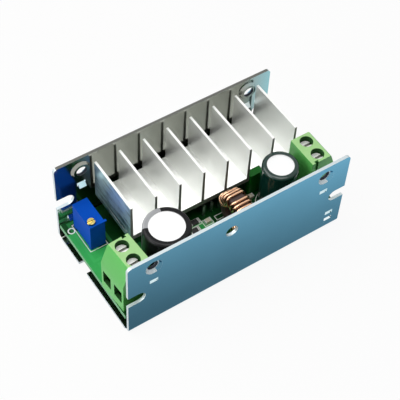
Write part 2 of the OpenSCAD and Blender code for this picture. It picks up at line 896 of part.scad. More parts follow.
module terminal_clamp(pole) {
    color("gold") translate([screw_from_face, pole * pole_pitch / 2, 0]) difference() {
        translate([-clamp_length / 2, -clamp_width / 2, clamp_rest])
            cube([clamp_length, clamp_width, clamp_top - clamp_rest]);
        translate([-clamp_length, -clamp_width / 2 + clamp_side, clamp_rest + clamp_floor])
            cube([2 * clamp_length, clamp_width - 2 * clamp_side, web_low - clamp_rest - clamp_floor]);
        translate([0, 0, web_low - 1]) cylinder(r = terminal_thread / 2 + screw_clearance, h = clamp_web + 2);
    }
}

module input_terminal_block() {
    at_input_block() terminal_block();
}

module input_terminal_pins() {
    at_input_block() terminal_pins();
}

module input_screw_rear() {
    at_input_block() terminal_screw(1);
}

module input_screw_front() {
    at_input_block() terminal_screw(-1);
}

module input_clamp_rear() {
    at_input_block() terminal_clamp(1);
}

module input_clamp_front() {
    at_input_block() terminal_clamp(-1);
}

module output_terminal_block() {
    at_output_block() terminal_block();
}

module output_terminal_pins() {
    at_output_block() terminal_pins();
}

module output_screw_rear() {
    at_output_block() terminal_screw(-1);
}

module output_screw_front() {
    at_output_block() terminal_screw(1);
}

module output_clamp_rear() {
    at_output_block() terminal_clamp(-1);
}

module output_clamp_front() {
    at_output_block() terminal_clamp(1);
}

// Capacitors

// half outline of a capacitor, shrunk by the given amount all round except at the foot
module can_outline(diameter, height, shrink) {
    radius = diameter / 2 - shrink;
    top = height - shrink;
    shoulder = can_shoulder - shrink;
    bead = 0.8;
    difference() {
        union() {
            square([radius - shoulder, top]);
            square([radius, top - shoulder]);
            translate([radius - shoulder, top - shoulder]) intersection() {
                circle(r = shoulder);
                square(shoulder);
            }
        }
        translate([diameter / 2 - bead_depth + bead, bead_height]) circle(r = bead + shrink);
    }
}

module capacitor_sleeve(diameter, height, disc) {
    rotate_extrude() difference() {
        can_outline(diameter, height, 0);
        can_outline(diameter, height, sleeve);
        square([disc / 2, height + 1]);
    }
}

module capacitor_can(diameter, height) {
    rotate_extrude() difference() {
        can_outline(diameter, height, sleeve);
        can_outline(diameter, height, sleeve + can_wall);
    }
}

module capacitor_bung(diameter, height) {
    difference() {
        rotate_extrude() intersection() {
            can_outline(diameter, height, sleeve + can_wall);
            translate([0, bung_low]) square([diameter, bung_top - bung_low]);
        }
        at_capacitor_leads() cylinder(d = capacitor_lead, h = bung_top + 1);
    }
}

module capacitor_roll(diameter, height) {
    shell = sleeve + can_wall;
    translate([0, 0, roll_low])
        cylinder(r = diameter / 2 - shell - roll_side_gap, h = height - shell - roll_top_gap - roll_low);
}

module capacitor_leads() {
    at_capacitor_leads()
        translate([0, 0, lead_bottom]) cylinder(d = capacitor_lead, h = roll_low - lead_bottom);
}

module large_capacitor_sleeve() {
    color("black") at_large_capacitor()
        capacitor_sleeve(large_capacitor_diameter, large_capacitor_height, large_capacitor_disc);
}

module large_capacitor_can() {
    color("silver") at_large_capacitor() capacitor_can(large_capacitor_diameter, large_capacitor_height);
}

module large_capacitor_bung() {
    color("dimgray") at_large_capacitor() capacitor_bung(large_capacitor_diameter, large_capacitor_height);
}

module large_capacitor_roll() {
    color("tan") at_large_capacitor() capacitor_roll(large_capacitor_diameter, large_capacitor_height);
}

module large_capacitor_leads() {
    color("lightgray") at_large_capacitor() capacitor_leads();
}

module small_capacitor_sleeve() {
    color("darkgreen") at_small_capacitor()
        capacitor_sleeve(small_capacitor_diameter, small_capacitor_height, small_capacitor_disc);
}

module small_capacitor_can() {
    color("silver") at_small_capacitor() capacitor_can(small_capacitor_diameter, small_capacitor_height);
}

module small_capacitor_bung() {
    color("dimgray") at_small_capacitor() capacitor_bung(small_capacitor_diameter, small_capacitor_height);
}

module small_capacitor_roll() {
    color("tan") at_small_capacitor() capacitor_roll(small_capacitor_diameter, small_capacitor_height);
}

module small_capacitor_leads() {
    color("lightgray") at_small_capacitor() capacitor_leads();
}

// Inductor: a toroid that stands on edge, its axis along X

module at_inductor() {
    translate([inductor_offset, inductor_y, board_top + inductor_z]) children();
}

module inductor_core() {
    section = [core_outside / 2 - core_inside / 2, core_length];
    color("dimgray") at_inductor() rotate([0, 90, 0])
        rotate_extrude()
            translate([(core_outside + core_inside) / 4, 0]) round_outline(section, core_edge);
}

// The turns touch each other in the core's hole, where they are evenly spread. Outside they lie in two
// groups with a gap near the top, then wider apart, and the foot of the core stays bare.
inside_step = 20.5;
first_group = [31, 48, 61.5, 74];
second_group = [for (turn = [0 : 2]) 98 + 10.8 * turn];
last_group = [for (turn = [1 : 6]) second_group[2] + inside_step * turn];
outside_angles = concat(first_group, second_group, last_group);
turn_count = len(outside_angles);
last_angle = outside_angles[turn_count - 1] + inside_step;
// angle at which a turn lies in the hole: the fourth turn is the one that runs straight in
function inside_angle(turn) = outside_angles[3] + inside_step * (turn - 3);
// the wire bends round the core's rounded edges, in this many steps at each edge
bend = core_edge + wire_distance;
bend_steps = 4;
first_lead_x = 1.2;
last_lead_y = winding_outside * cos(last_angle);

// a point on the toroid: place along its axis, distance from it, and angle from +Y towards +Z
function toroid_point(axial, radius, angle) = [axial, radius * cos(angle), radius * sin(angle)];

// the wire's way over one face (-1 left, 1 right), in round the core's outer edge and then its inner edge
face_steps = 2 * bend_steps + 1;
function face_points(side, from_angle, to_angle) = [
    for (step = [0 : face_steps])
        let (
            outer = step <= bend_steps,
            share = (outer ? step : face_steps - step) / bend_steps,
            radius = bend * cos(90 * share),
            distance = outer ? winding_outside - bend + radius : winding_inside + bend - radius
        )
        toroid_point(
            side * (winding_half - bend + bend * sin(90 * share)),
            distance,
            from_angle + (to_angle - from_angle) * step / face_steps
        )
];
// the last count points of a way over a face, run backwards
function outwards(way, count) = [for (step = [0 : count - 1]) way[face_steps - step]];

// one turn: along the outside, in over the left face, back along the hole to the next turn's angle,
// out over the right face; the last turn stops on that face
function turn_points(turn) =
    let (
        last = turn + 1 == turn_count,
        next_angle = last ? last_angle : outside_angles[turn + 1]
    )
    concat(
        face_points(-1, outside_angles[turn], inside_angle(turn)),
        outwards(face_points(1, next_angle, inside_angle(turn + 1)), last ? bend_steps + 2 : face_steps + 1)
    );

// the first lead comes up behind the core and joins the first turn part of the way along the outside
lead_foot = lead_bottom - inductor_z;
lead_steps = 3;
lead_step = 0.8 * outside_angles[0] / lead_steps;
first_lead = concat(
    [[first_lead_x, winding_outside, lead_foot], [first_lead_x, winding_outside, -1]],
    [for (step = [0 : lead_steps]) toroid_point(first_lead_x, winding_outside, step * lead_step)]
);
last_lead = [for (z = [-winding_outside, lead_foot]) [winding_half, last_lead_y, z]];
wire_path = concat(first_lead, [for (turn = [0 : turn_count - 1]) each turn_points(turn)], last_lead);

function unit(v) = v / norm(v);
function sideways(v, along) = unit(v - (v * along) * along);

path_count = len(wire_path);
wire_directions = [
    for (i = [0 : path_count - 1])
        unit(wire_path[min(i + 1, path_count - 1)] - wire_path[max(i - 1, 0)])
];
// a side direction carried along the wire without twisting
wire_sides = [
    for (
        i = 0, side = sideways([1, 0, 0], wire_directions[0]);
        i < path_count;
        i = i + 1, side = sideways(side, wire_directions[min(i, path_count - 1)])
    ) side
];
wire_facets = 8;

module wire_sweep() {
    points = [
        for (i = [0 : path_count - 1], k = [0 : wire_facets - 1])
            let (angle = k * 360 / wire_facets, up = cross(wire_directions[i], wire_sides[i]))
                wire_path[i] + wire / 2 * (cos(angle) * wire_sides[i] + sin(angle) * up)
    ];
    last_ring = (path_count - 1) * wire_facets;
    sides = [
        for (i = [0 : path_count - 2], k = [0 : wire_facets - 1])
            let (a = i * wire_facets, b = a + wire_facets, n = (k + 1) % wire_facets)
                each [[a + k, b + k, b + n], [a + k, b + n, a + n]]
    ];
    ends = [
        [for (k = [0 : wire_facets - 1]) k],
        [for (k = [0 : wire_facets - 1]) last_ring + wire_facets - 1 - k]
    ];
    polyhedron(points = points, faces = concat(sides, ends));
}

module inductor_winding() {
    color("orange") at_inductor() wire_sweep();
}

// Choke: a moulded body that stands in the heatsink's notch on two straight leads

choke_lead_inside = 1.5;

module choke_body() {
    color("green") at_choke() difference() {
        translate([0, 0, choke_lift])
            linear_extrude(height = choke_height) round_outline([choke_width, choke_depth], choke_corner);
        at_choke_leads() cylinder(d = choke_lead_diameter, h = choke_lift + choke_lead_inside);
    }
}

module choke_lead() {
    color("silver") at_choke() at_choke_leads()
        translate([0, 0, lead_bottom])
            cylinder(d = choke_lead_diameter, h = choke_lift + choke_lead_inside - lead_bottom);
}

// Trimmer, drawn from the foot of its corner nearest the input end and the front wall

module at_trimmer_screw() {
    translate([trimmer_screw_from_side, trimmer_screw_from_end, trimmer_height]) children();
}

module trimmer_case() {
    foot_length = 1.2;
    nub = [0.6, 0.7, 0.3];
    below_screw = 0.1;
    color("blue") at_trimmer() difference() {
        union() {
            translate([0, 0, trimmer_foot])
                cube([trimmer_width, trimmer_length, trimmer_height - trimmer_foot]);
            for (y = [0, trimmer_length - foot_length])
                translate([0, y, 0]) cube([trimmer_width, foot_length, trimmer_foot + over]);
            translate([trimmer_width - over, 0, trimmer_height - nub[2]]) cube([nub[0] + over, nub[1], nub[2]]);
        }
        at_trimmer_screw() translate([0, 0, -trimmer_screw_depth - below_screw])
            cylinder(r = trimmer_screw_diameter / 2 + trimmer_clearance, h = trimmer_screw_depth + 1);
        at_trimmer_pins() cylinder(d = trimmer_pin, h = trimmer_foot + trimmer_pin_depth);
    }
}

module trimmer_screw() {
    slot_width = 0.5;
    slot_depth = 0.5;
    color("gold") at_trimmer() at_trimmer_screw() difference() {
        translate([0, 0, -trimmer_screw_depth])
            cylinder(d = trimmer_screw_diameter, h = trimmer_screw_depth + trimmer_screw_out);
        translate([-trimmer_screw_diameter, -slot_width / 2, trimmer_screw_out - slot_depth])
            cube([2 * trimmer_screw_diameter, slot_width, slot_depth + 1]);
    }
}

module trimmer_pins() {
    color("lightgray") at_trimmer() at_trimmer_pins()
        translate([0, 0, lead_bottom])
            cylinder(d = trimmer_pin, h = trimmer_foot + trimmer_pin_depth - lead_bottom);
}

// Small parts on the board

controller_leg = [0.4, 1, 0.2];

module controller_chip() {
    color("black") at_board()
        chip(controller_place + [0, 0, controller_standoff], controller_size);
}

// each leg is a foot on the board, a riser and a shoulder that meets the chip's side
module controller_leads() {
    pitch = 1.27;
    shoulder = 0.2;
    shoulder_height = controller_standoff + controller_size[2] / 2;
    foot = controller_leg;
    color("lightgray") at_board() translate(controller_place)
        for (side = [0, 180], leg = [0 : 3])
            rotate([0, 0, side])
                translate([(leg - 1.5) * pitch - foot[0] / 2, controller_size[1] / 2, 0]) {
                    translate([0, shoulder, 0]) cube(foot);
                    translate([0, shoulder, 0]) cube([foot[0], foot[2], shoulder_height]);
                    translate([0, 0, shoulder_height - foot[2]]) cube([foot[0], shoulder + foot[2], foot[2]]);
                }
}

// size of a chip part, length along X
resistor_size = [3.1, 1.6, 0.6];
capacitor_size = [2, 1.25, 1];
// share of a chip's length that its two metal ends take up, each
chip_end = 0.18;

// two chip resistors and two chip capacitors belong to the controller, one capacitor to the trimmer
// and one to the choke
resistor_places = [for (offset = [[1.5, 7.7, 0], [0, 5.2, 0]]) controller_place + offset];
capacitor_places = [
    for (offset = [[4.9, 6.1, 0], [0.4, -5, 0]]) controller_place + offset,
    [trimmer_x + trimmer_width + 2, trimmer_y - 4, 0],
    [choke_x - choke_width / 2, choke_y - choke_depth / 2 - capacitor_size[1] / 2 - choke_gap, 0]
];

module chip_middle(place, size) {
    chip(place, [size[0] * (1 - 2 * chip_end), size[1], size[2]]);
}

module chip_end_pair(place, size) {
    for (end = [-1, 1])
        chip(place + [end * size[0] * (1 - chip_end) / 2, 0, 0], [size[0] * chip_end, size[1], size[2]]);
}

module chip_resistors() {
    color("black") at_board() for (place = resistor_places) chip_middle(place, resistor_size);
}

module chip_capacitors() {
    color("tan") at_board() for (place = capacitor_places) chip_middle(place, capacitor_size);
}

module chip_ends() {
    color("silver") at_board() {
        for (place = resistor_places) chip_end_pair(place, resistor_size);
        for (place = capacitor_places) chip_end_pair(place, capacitor_size);
    }
}

// What is built

housing();
circuit_board();
solder_joints();
heatsink();
heatsink_screws();
thermal_pads();
insulating_bushes();
transistor_case();
transistor_leadframe();
rectifier_case();
rectifier_leadframe();
input_terminal_block();
input_terminal_pins();
input_screw_rear();
input_screw_front();
input_clamp_rear();
input_clamp_front();
output_terminal_block();
output_terminal_pins();
output_screw_rear();
output_screw_front();
output_clamp_rear();
output_clamp_front();
large_capacitor_sleeve();
large_capacitor_can();
large_capacitor_bung();
large_capacitor_roll();
large_capacitor_leads();
small_capacitor_sleeve();
small_capacitor_can();
small_capacitor_bung();
small_capacitor_roll();
small_capacitor_leads();
inductor_core();
inductor_winding();
choke_body();
choke_lead();
trimmer_case();
trimmer_screw();
trimmer_pins();
controller_chip();
controller_leads();
chip_resistors();
chip_capacitors();
chip_ends();
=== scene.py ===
from math import cos, radians, sin

import bpy
from mathutils import Matrix, Vector


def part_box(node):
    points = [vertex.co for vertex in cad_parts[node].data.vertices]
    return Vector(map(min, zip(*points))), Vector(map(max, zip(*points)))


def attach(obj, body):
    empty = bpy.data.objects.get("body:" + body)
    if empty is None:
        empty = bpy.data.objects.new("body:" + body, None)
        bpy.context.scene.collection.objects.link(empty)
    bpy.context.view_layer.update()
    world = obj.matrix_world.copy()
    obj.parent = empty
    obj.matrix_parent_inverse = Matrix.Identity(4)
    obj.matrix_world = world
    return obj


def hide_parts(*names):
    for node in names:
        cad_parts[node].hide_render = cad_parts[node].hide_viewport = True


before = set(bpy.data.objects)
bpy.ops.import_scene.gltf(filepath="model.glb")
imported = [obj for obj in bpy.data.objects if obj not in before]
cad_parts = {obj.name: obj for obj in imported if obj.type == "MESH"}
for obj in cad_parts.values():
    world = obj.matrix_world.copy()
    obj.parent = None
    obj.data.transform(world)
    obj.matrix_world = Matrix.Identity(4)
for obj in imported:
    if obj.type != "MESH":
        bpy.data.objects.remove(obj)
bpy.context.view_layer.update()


# Folded channel
# The case is one strip of bright plated sheet, cut and pressed flat and then folded into a U.
# Its walls carry dimpled screw holes, sheared lugs and open-ended slots; most cut edges stay bright.

MM = 0.001
MERGE_DISTANCE = 0.002 * MM
FLAT_ANGLE = radians(0.5)
ROUNDING_SEGMENTS = 2
KEEP_FINISH = -1
NOISE_ROUGHNESS = 0.6
BUMP_STRENGTH = 0.5


def select_only(piece):
    bpy.ops.object.select_all(action="DESELECT")
    piece.select_set(True)
    bpy.context.view_layer.objects.active = piece


def merged_copy(node_name, body):
    """A copy of a CAD node, joined from its loose triangles, which stands for the node."""
    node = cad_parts[node_name]
    piece = bpy.data.objects.new(node_name + "_finished", node.data.copy())
    bpy.context.collection.objects.link(piece)
    select_only(piece)
    bpy.ops.mesh.customdata_custom_splitnormals_clear()
    bpy.ops.object.mode_set(mode="EDIT")
    bpy.ops.mesh.select_all(action="SELECT")
    bpy.ops.mesh.remove_doubles(threshold=MERGE_DISTANCE)
    bpy.ops.mesh.dissolve_limited(angle_limit=FLAT_ANGLE)
    bpy.ops.object.mode_set(mode="OBJECT")
    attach(piece, body)
    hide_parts(node_name)
    return piece


def round_edges(piece, width_mm, angle=40, finish=KEEP_FINISH):
    """Small roundings on the edges that are sharper than the angle, held inside the piece's own box.

    They keep the finish of the faces beside them, unless one of their own is given.
    """
    corners = [Vector(corner) for corner in piece.bound_box]
    bevel = piece.modifiers.new("rounded_edges", "BEVEL")
    bevel.width = width_mm * MM
    bevel.segments = ROUNDING_SEGMENTS
    bevel.limit_method = "ANGLE"
    bevel.angle_limit = radians(angle)
    bevel.material = finish
    select_only(piece)
    bpy.ops.object.modifier_apply(modifier=bevel.name)
    for axis in range(3):
        low = min(corner[axis] for corner in corners)
        high = max(corner[axis] for corner in corners)
        for vertex in piece.data.vertices:
            vertex.co[axis] = min(max(vertex.co[axis], low), high)


def smooth_curves(piece, angle=35):
    """Smooth shading across small angles, with flat faces kept flat."""
    select_only(piece)
    bpy.ops.object.shade_smooth_by_angle(angle=radians(angle))
    flat_faces = piece.modifiers.new("flat_faces", "WEIGHTED_NORMAL")
    flat_faces.keep_sharp = True
    bpy.ops.object.modifier_apply(modifier=flat_faces.name)


def group_nodes(group):
    return group.nodes.new("NodeGroupInput"), group.nodes.new("NodeGroupOutput")


def value_socket(group, name, default, low=0.0, high=10000.0):
    socket = group.interface.new_socket(name=name, in_out="INPUT", socket_type="NodeSocketFloat")
    socket.default_value = default
    socket.min_value = low
    socket.max_value = high


def colour_socket(group, name):
    group.interface.new_socket(name=name, in_out="INPUT", socket_type="NodeSocketColor")


def vector_socket(group, name):
    group.interface.new_socket(name=name, in_out="INPUT", socket_type="NodeSocketVector")


def gloss_sockets(group, low, high):
    """The range of a surface's roughness, which varies between the two."""
    value_socket(group, "Gloss Low", low, 0.0, 1.0)
    value_socket(group, "Gloss High", high, 0.0, 1.0)


def result_sockets(group):
    group.interface.new_socket(name="Color", in_out="OUTPUT", socket_type="NodeSocketColor")
    group.interface.new_socket(name="Roughness", in_out="OUTPUT", socket_type="NodeSocketFloat")
    group.interface.new_socket(name="Height", in_out="OUTPUT", socket_type="NodeSocketFloat")


def give_results(group, result, colour, gloss, height):
    group.links.new(colour, result.inputs["Color"])
    group.links.new(gloss, result.inputs["Roughness"])
    group.links.new(height, result.inputs["Height"])


def join(tree, source, target):
    """Feeds a socket from another socket, or sets it where a plain value is given."""
    if isinstance(source, bpy.types.NodeSocket):
        tree.links.new(source, target)
    else:
        target.default_value = source


def object_place(tree):
    return tree.nodes.new("ShaderNodeTexCoord").outputs["Object"]


def maths(tree, operation, first, second=0.0, third=0.0, clamp=False):
    node = tree.nodes.new("ShaderNodeMath")
    node.operation = operation
    node.use_clamp = clamp
    for place, source in enumerate((first, second, third)):
        join(tree, source, node.inputs[place])
    return node.outputs[0]


def vector_maths(tree, operation, first, second=(0, 0, 0)):
    node = tree.nodes.new("ShaderNodeVectorMath")
    node.operation = operation
    join(tree, first, node.inputs[0])
    join(tree, second, node.inputs[1])
    gives_value = operation in ("DOT_PRODUCT", "LENGTH")
    return node.outputs["Value" if gives_value else "Vector"]


def noise(tree, place, scale, detail):
    node = tree.nodes.new("ShaderNodeTexNoise")
    node.inputs["Detail"].default_value = detail
    node.inputs["Roughness"].default_value = NOISE_ROUGHNESS
    join(tree, place, node.inputs["Vector"])
    join(tree, scale, node.inputs["Scale"])
    return node.outputs["Fac"]


def blend(tree, share, first, second):
    node = tree.nodes.new("ShaderNodeMix")
    node.data_type = "RGBA"
    join(tree, share, node.inputs["Factor"])
    join(tree, first, node.inputs["A"])
    join(tree, second, node.inputs["B"])
    return node.outputs["Result"]


def spread(tree, value, low, high):
    """Maps a value between 0 and 1 to the range from low to high."""
    node = tree.nodes.new("ShaderNodeMapRange")
    join(tree, value, node.inputs["Value"])
    join(tree, low, node.inputs["To Min"])
    join(tree, high, node.inputs["To Max"])
    return node.outputs["Result"]


def make_graded_group():
    """Plated sheet whose colour runs from deep to light along a direction, with faint clouds and a rolled
    grain; on the outside walls that grade is painted reflection.
    """
    cloud_scale = 70.0
    cloud_strength = 0.12
    rolled_lengthwise = (0.05, 1, 1)
    grain_scale = 2200.0
    group = bpy.data.node_groups.new("graded_sheet", "ShaderNodeTree")
    colour_socket(group, "Deep Color")
    colour_socket(group, "Light Color")
    vector_socket(group, "Grade")
    value_socket(group, "Start", 0.2, -5.0, 5.0)
    value_socket(group, "Curve", 1.6, 0.1, 5.0)
    gloss_sockets(group, 0.15, 0.25)
    result_sockets(group)
    given, result = group_nodes(group)
    place = object_place(group)
    along = vector_maths(group, "DOT_PRODUCT", place, given.outputs["Grade"])
    started = maths(group, "ADD", along, given.outputs["Start"], clamp=True)
    curved = maths(group, "POWER", started, given.outputs["Curve"])
    clouds = noise(group, place, cloud_scale, detail=4)
    clouded = maths(group, "MULTIPLY_ADD", clouds, cloud_strength, curved)
    level = maths(group, "SUBTRACT", clouded, cloud_strength / 2, clamp=True)
    rolled = vector_maths(group, "MULTIPLY", place, rolled_lengthwise)
    grain = noise(group, rolled, grain_scale, detail=3)
    colour = blend(group, level, given.outputs["Deep Color"], given.outputs["Light Color"])
    gloss = spread(group, grain, given.outputs["Gloss Low"], given.outputs["Gloss High"])
    give_results(group, result, colour, gloss, grain)
    return group


def make_grain_group():
    """Mottled colour, uneven gloss and a fine grain, for moulded plastic, lacquer, sleeves and cans."""
    group = bpy.data.node_groups.new("moulded_grain", "ShaderNodeTree")
    colour_socket(group, "Color")
    colour_socket(group, "Mottle Color")
    value_socket(group, "Mottle Scale", 300.0)
    value_socket(group, "Mottle Amount", 0.3, 0.0, 1.0)
    value_socket(group, "Grain Scale", 4000.0)
    gloss_sockets(group, 0.3, 0.45)
    result_sockets(group)
    given, result = group_nodes(group)
    place = object_place(group)
    mottle = noise(group, place, given.outputs["Mottle Scale"], detail=4)
    grain = noise(group, place, given.outputs["Grain Scale"], detail=2)
    share = maths(group, "MULTIPLY", mottle, given.outputs["Mottle Amount"])
    colour = blend(group, share, given.outputs["Color"], given.outputs["Mottle Color"])
    gloss = spread(group, mottle, given.outputs["Gloss Low"], given.outputs["Gloss High"])
    give_results(group, result, colour, gloss, grain)
    return group


def make_streak_group():
    """Drawn or rolled metal: streaks stretched along one direction, with cloudy tarnish over them.

    A contrast above 1 sets the tarnish off more sharply from the bare metal.
    """
    mean_tarnish = 0.25
    group = bpy.data.node_groups.new("drawn_streaks", "ShaderNodeTree")
    colour_socket(group, "Color")
    colour_socket(group, "Tarnish Color")
    vector_socket(group, "Stretch")
    value_socket(group, "Streak Scale", 2500.0)
    value_socket(group, "Cloud Scale", 90.0)
    value_socket(group, "Tarnish Amount", 0.4, 0.0, 1.0)
    value_socket(group, "Contrast", 1.0, 0.0, 20.0)
    gloss_sockets(group, 0.15, 0.3)
    result_sockets(group)
    given, result = group_nodes(group)
    place = object_place(group)
    stretched = vector_maths(group, "MULTIPLY", place, given.outputs["Stretch"])
    streaks = noise(group, stretched, given.outputs["Streak Scale"], detail=3)
    clouds = noise(group, place, given.outputs["Cloud Scale"], detail=5)
    tarnish = maths(group, "MULTIPLY", streaks, clouds)
    from_mean = maths(group, "SUBTRACT", tarnish, mean_tarnish)
    sharpened = maths(
        group, "MULTIPLY_ADD", from_mean, given.outputs["Contrast"], mean_tarnish, clamp=True,
    )
    share = maths(group, "MULTIPLY", sharpened, given.outputs["Tarnish Amount"], clamp=True)
    colour = blend(group, share, given.outputs["Color"], given.outputs["Tarnish Color"])
    gloss = spread(group, streaks, given.outputs["Gloss Low"], given.outputs["Gloss High"])
    give_results(group, result, colour, gloss, streaks)
    return group


def new_material(name, group, values, bump_mm, metallic=0.0, specular=0.5):
    """A material whose colour, gloss and relief come from one of the node groups."""
    material = bpy.data.materials.new(name)
    material.use_nodes = True
    tree = material.node_tree
    shader = tree.nodes["Principled BSDF"]
    shader.inputs["Metallic"].default_value = metallic
    shader.inputs["Specular IOR Level"].default_value = specular
    surface = tree.nodes.new("ShaderNodeGroup")
    surface.node_tree = group
    surface.name = "surface"
    for socket, value in values.items():
        surface.inputs[socket].default_value = value
    bump = tree.nodes.new("ShaderNodeBump")
    bump.inputs["Distance"].default_value = bump_mm * MM
    bump.inputs["Strength"].default_value = BUMP_STRENGTH
    tree.links.new(surface.outputs["Color"], shader.inputs["Base Color"])
    tree.links.new(surface.outputs["Roughness"], shader.inputs["Roughness"])
    tree.links.new(surface.outputs["Height"], bump.inputs["Height"])
    tree.links.new(bump.outputs["Normal"], shader.inputs["Normal"])
    return material


def dress(piece, *materials):
    piece.data.materials.clear()
    for material in materials:
        piece.data.materials.append(material)
    piece.data.polygons.foreach_set("material_index", [0] * len(piece.data.polygons))


graded_group = make_graded_group()
grain_group = make_grain_group()
streak_group = make_streak_group()
# Outside, the grade is painted reflection: darker at the bottom and the left end, lighter towards the top
# and the right end.
sheet_outside = new_material("plated_sheet_outside_painted_reflection", graded_group, {
    "Deep Color": (0.036, 0.09, 0.13, 1), "Light Color": (0.165, 0.42, 0.59, 1),
    "Grade": (5.1, 0, 20.7), "Start": 0.18, "Curve": 1.6, "Gloss Low": 0.16, "Gloss High": 0.26,
}, bump_mm=0.002, metallic=1.0)
GRAZING_TINT = (0.6, 0.8, 0.9, 1)
outside_shader = sheet_outside.node_tree.nodes["Principled BSDF"]
outside_shader.inputs["Specular Tint"].default_value = GRAZING_TINT
# Inside, the sheet turns bluer towards the right end.
sheet_inside = new_material("plated_sheet_inside", graded_group, {
    "Deep Color": (0.31, 0.32, 0.285, 1), "Light Color": (0.28, 0.55, 0.60, 1),
    "Grade": (100, 0, 0), "Start": -2.5, "Curve": 1.0, "Gloss Low": 0.12, "Gloss High": 0.20,
}, bump_mm=0.001, metallic=1.0)
sheet_cut = new_material("cut_sheet_edge", streak_group, {
    "Color": (0.64, 0.72, 0.75, 1), "Tarnish Color": (0.48, 0.55, 0.58, 1), "Stretch": (1, 1, 0.3),
    "Streak Scale": 3000, "Cloud Scale": 200, "Tarnish Amount": 0.6, "Gloss Low": 0.34, "Gloss High": 0.48,
}, bump_mm=0.003, metallic=0.5)
# Painted shade: the walls of the dimpled holes are near black, as the holes open into the dark inside.
sheet_hole_shade = new_material("hole_wall_painted_shade", streak_group, {
    "Color": (0.035, 0.04, 0.055, 1), "Tarnish Color": (0.02, 0.02, 0.03, 1), "Stretch": (1, 0.2, 1),
    "Streak Scale": 4000, "Cloud Scale": 400, "Tarnish Amount": 0.8, "Gloss Low": 0.5, "Gloss High": 0.7,
}, bump_mm=0.004, metallic=0.0, specular=0.15)
# The rear wall's top edge is dark grey.
sheet_dark_rim = new_material("dark_grey_rear_rim", streak_group, {
    "Color": (0.14, 0.145, 0.13, 1), "Tarnish Color": (0.08, 0.08, 0.075, 1), "Stretch": (0.2, 1, 1),
    "Streak Scale": 3000, "Cloud Scale": 150, "Tarnish Amount": 0.8, "Gloss Low": 0.45, "Gloss High": 0.6,
}, bump_mm=0.004, metallic=0.5)
# Painted highlight: a pale, half-diffuse finish on the upward floors of the lug openings, the lower flanks
# of the dimples and the recessed faces, where light falls on them.
sheet_painted_highlight = new_material("painted_highlight_edge", streak_group, {
    "Color": (0.80, 0.90, 0.94, 1), "Tarnish Color": (0.60, 0.70, 0.75, 1), "Stretch": (0.2, 1, 1),
    "Streak Scale": 3000, "Cloud Scale": 200, "Tarnish Amount": 0.6, "Gloss Low": 0.25, "Gloss High": 0.4,
}, bump_mm=0.002, metallic=0.3)
# The lugs get a paler, mirror-smooth copy of the sheet, as a painted highlight.
sheet_lug_highlight = new_material("lug_painted_highlight", streak_group, {
    "Color": (0.86, 0.95, 0.97, 1), "Tarnish Color": (0.70, 0.80, 0.84, 1), "Stretch": (0.2, 1, 1),
    "Streak Scale": 3000, "Cloud Scale": 200, "Tarnish Amount": 0.6, "Gloss Low": 0.10, "Gloss High": 0.2,
}, bump_mm=0.001, metallic=1.0)
SHEET_FINISHES = (
    sheet_outside, sheet_inside, sheet_cut, sheet_hole_shade, sheet_dark_rim, sheet_painted_highlight, sheet_lug_highlight,
)
OUTSIDE, INSIDE, CUT, HOLE_SHADE, DARK_RIM, PAINTED_HIGHLIGHT, LUG_HIGHLIGHT = range(len(SHEET_FINISHES))


def at_both_ends(along_mm, height_mm):
    """The two places on a wall, near its left and its right end, as X and Z."""
    return [Vector((end * along_mm, height_mm)) * MM for end in (-1, 1)]


housing_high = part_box("housing")[1]
RIM_DEPTH = 0.5 * MM
PRESSED_DEPTH = 0.05 * MM
WALL_TOP = housing_high.z - RIM_DEPTH
WALL_FACE = housing_high.y - PRESSED_DEPTH
FOLD_TOP = 2.1 * MM
BASE_HALF_WIDTH = 15 * MM
DIMPLED_HOLES = at_both_ends(27.2, 25.7)
HOLE_REACH = 2 * MM
LUGS = at_both_ends(27.2, 19.3) + at_both_ends(30.9, 7.8) + at_both_ends(30.9, 4.6)
LUG_REACH = 1.8 * MM
# How far a face's unit normal points along an axis
FACING = 0.9
SLANTED = 0.7
EDGE_ON = 0.3
LEANING = 0.1


def is_near(place, spots, reach):
    return min((place - spot).length for spot in spots) < reach


def sheet_finish(normal, centre):
    """Which finish, painted highlight or painted shade a face of the channel has, from the way it looks
    and the place where it lies.
    """
    outward = normal.y if centre.y > 0 else -normal.y
    rear_top_edge = centre.y > 0 and centre.z > WALL_TOP and normal.z > FACING
    if rear_top_edge:
        return DARK_RIM
    if centre.z < FOLD_TOP:
        base_slot_wall = abs(centre.y) < BASE_HALF_WIDTH and abs(normal.y) > SLANTED
        if base_slot_wall:
            return CUT
        outward -= normal.z
    on_wall = Vector((centre.x, centre.z))
    # Lugs take a painted highlight; dimple hole walls take painted shade, and opening floors, lower flanks
    # and dimple floors a painted highlight.
    if is_near(on_wall, LUGS, LUG_REACH):
        return LUG_HIGHLIGHT
    if abs(outward) < EDGE_ON:
        if is_near(on_wall, DIMPLED_HOLES, HOLE_REACH):
            return HOLE_SHADE
        opening_floor = normal.z > SLANTED and FOLD_TOP < centre.z < WALL_TOP
        return PAINTED_HIGHLIGHT if opening_floor else CUT
    if centre.z > FOLD_TOP:
        lower_flank = 0 < outward < FACING and normal.z > LEANING and normal.x > -EDGE_ON
        dimple_floor = outward > FACING and abs(centre.y) < WALL_FACE
        if lower_flank or dimple_floor:
            return PAINTED_HIGHLIGHT
    return OUTSIDE if outward > 0 else INSIDE


channel = merged_copy("housing", "module")
dress(channel, *SHEET_FINISHES)
for face in channel.data.polygons:
    face.material_index = sheet_finish(face.normal, face.center)
round_edges(channel, width_mm=0.07, angle=50, finish=CUT)
smooth_curves(channel)


# Circuit board
# A glass-fibre board with green solder mask, held by its edges between the lugs of the walls.
# The broad lighter fields are painted light, laid where the board is lit, and the dark mask green is left
# where it lies in shade; copper tracks show faintly under the mask, and the places of the parts are
# printed in white lines.

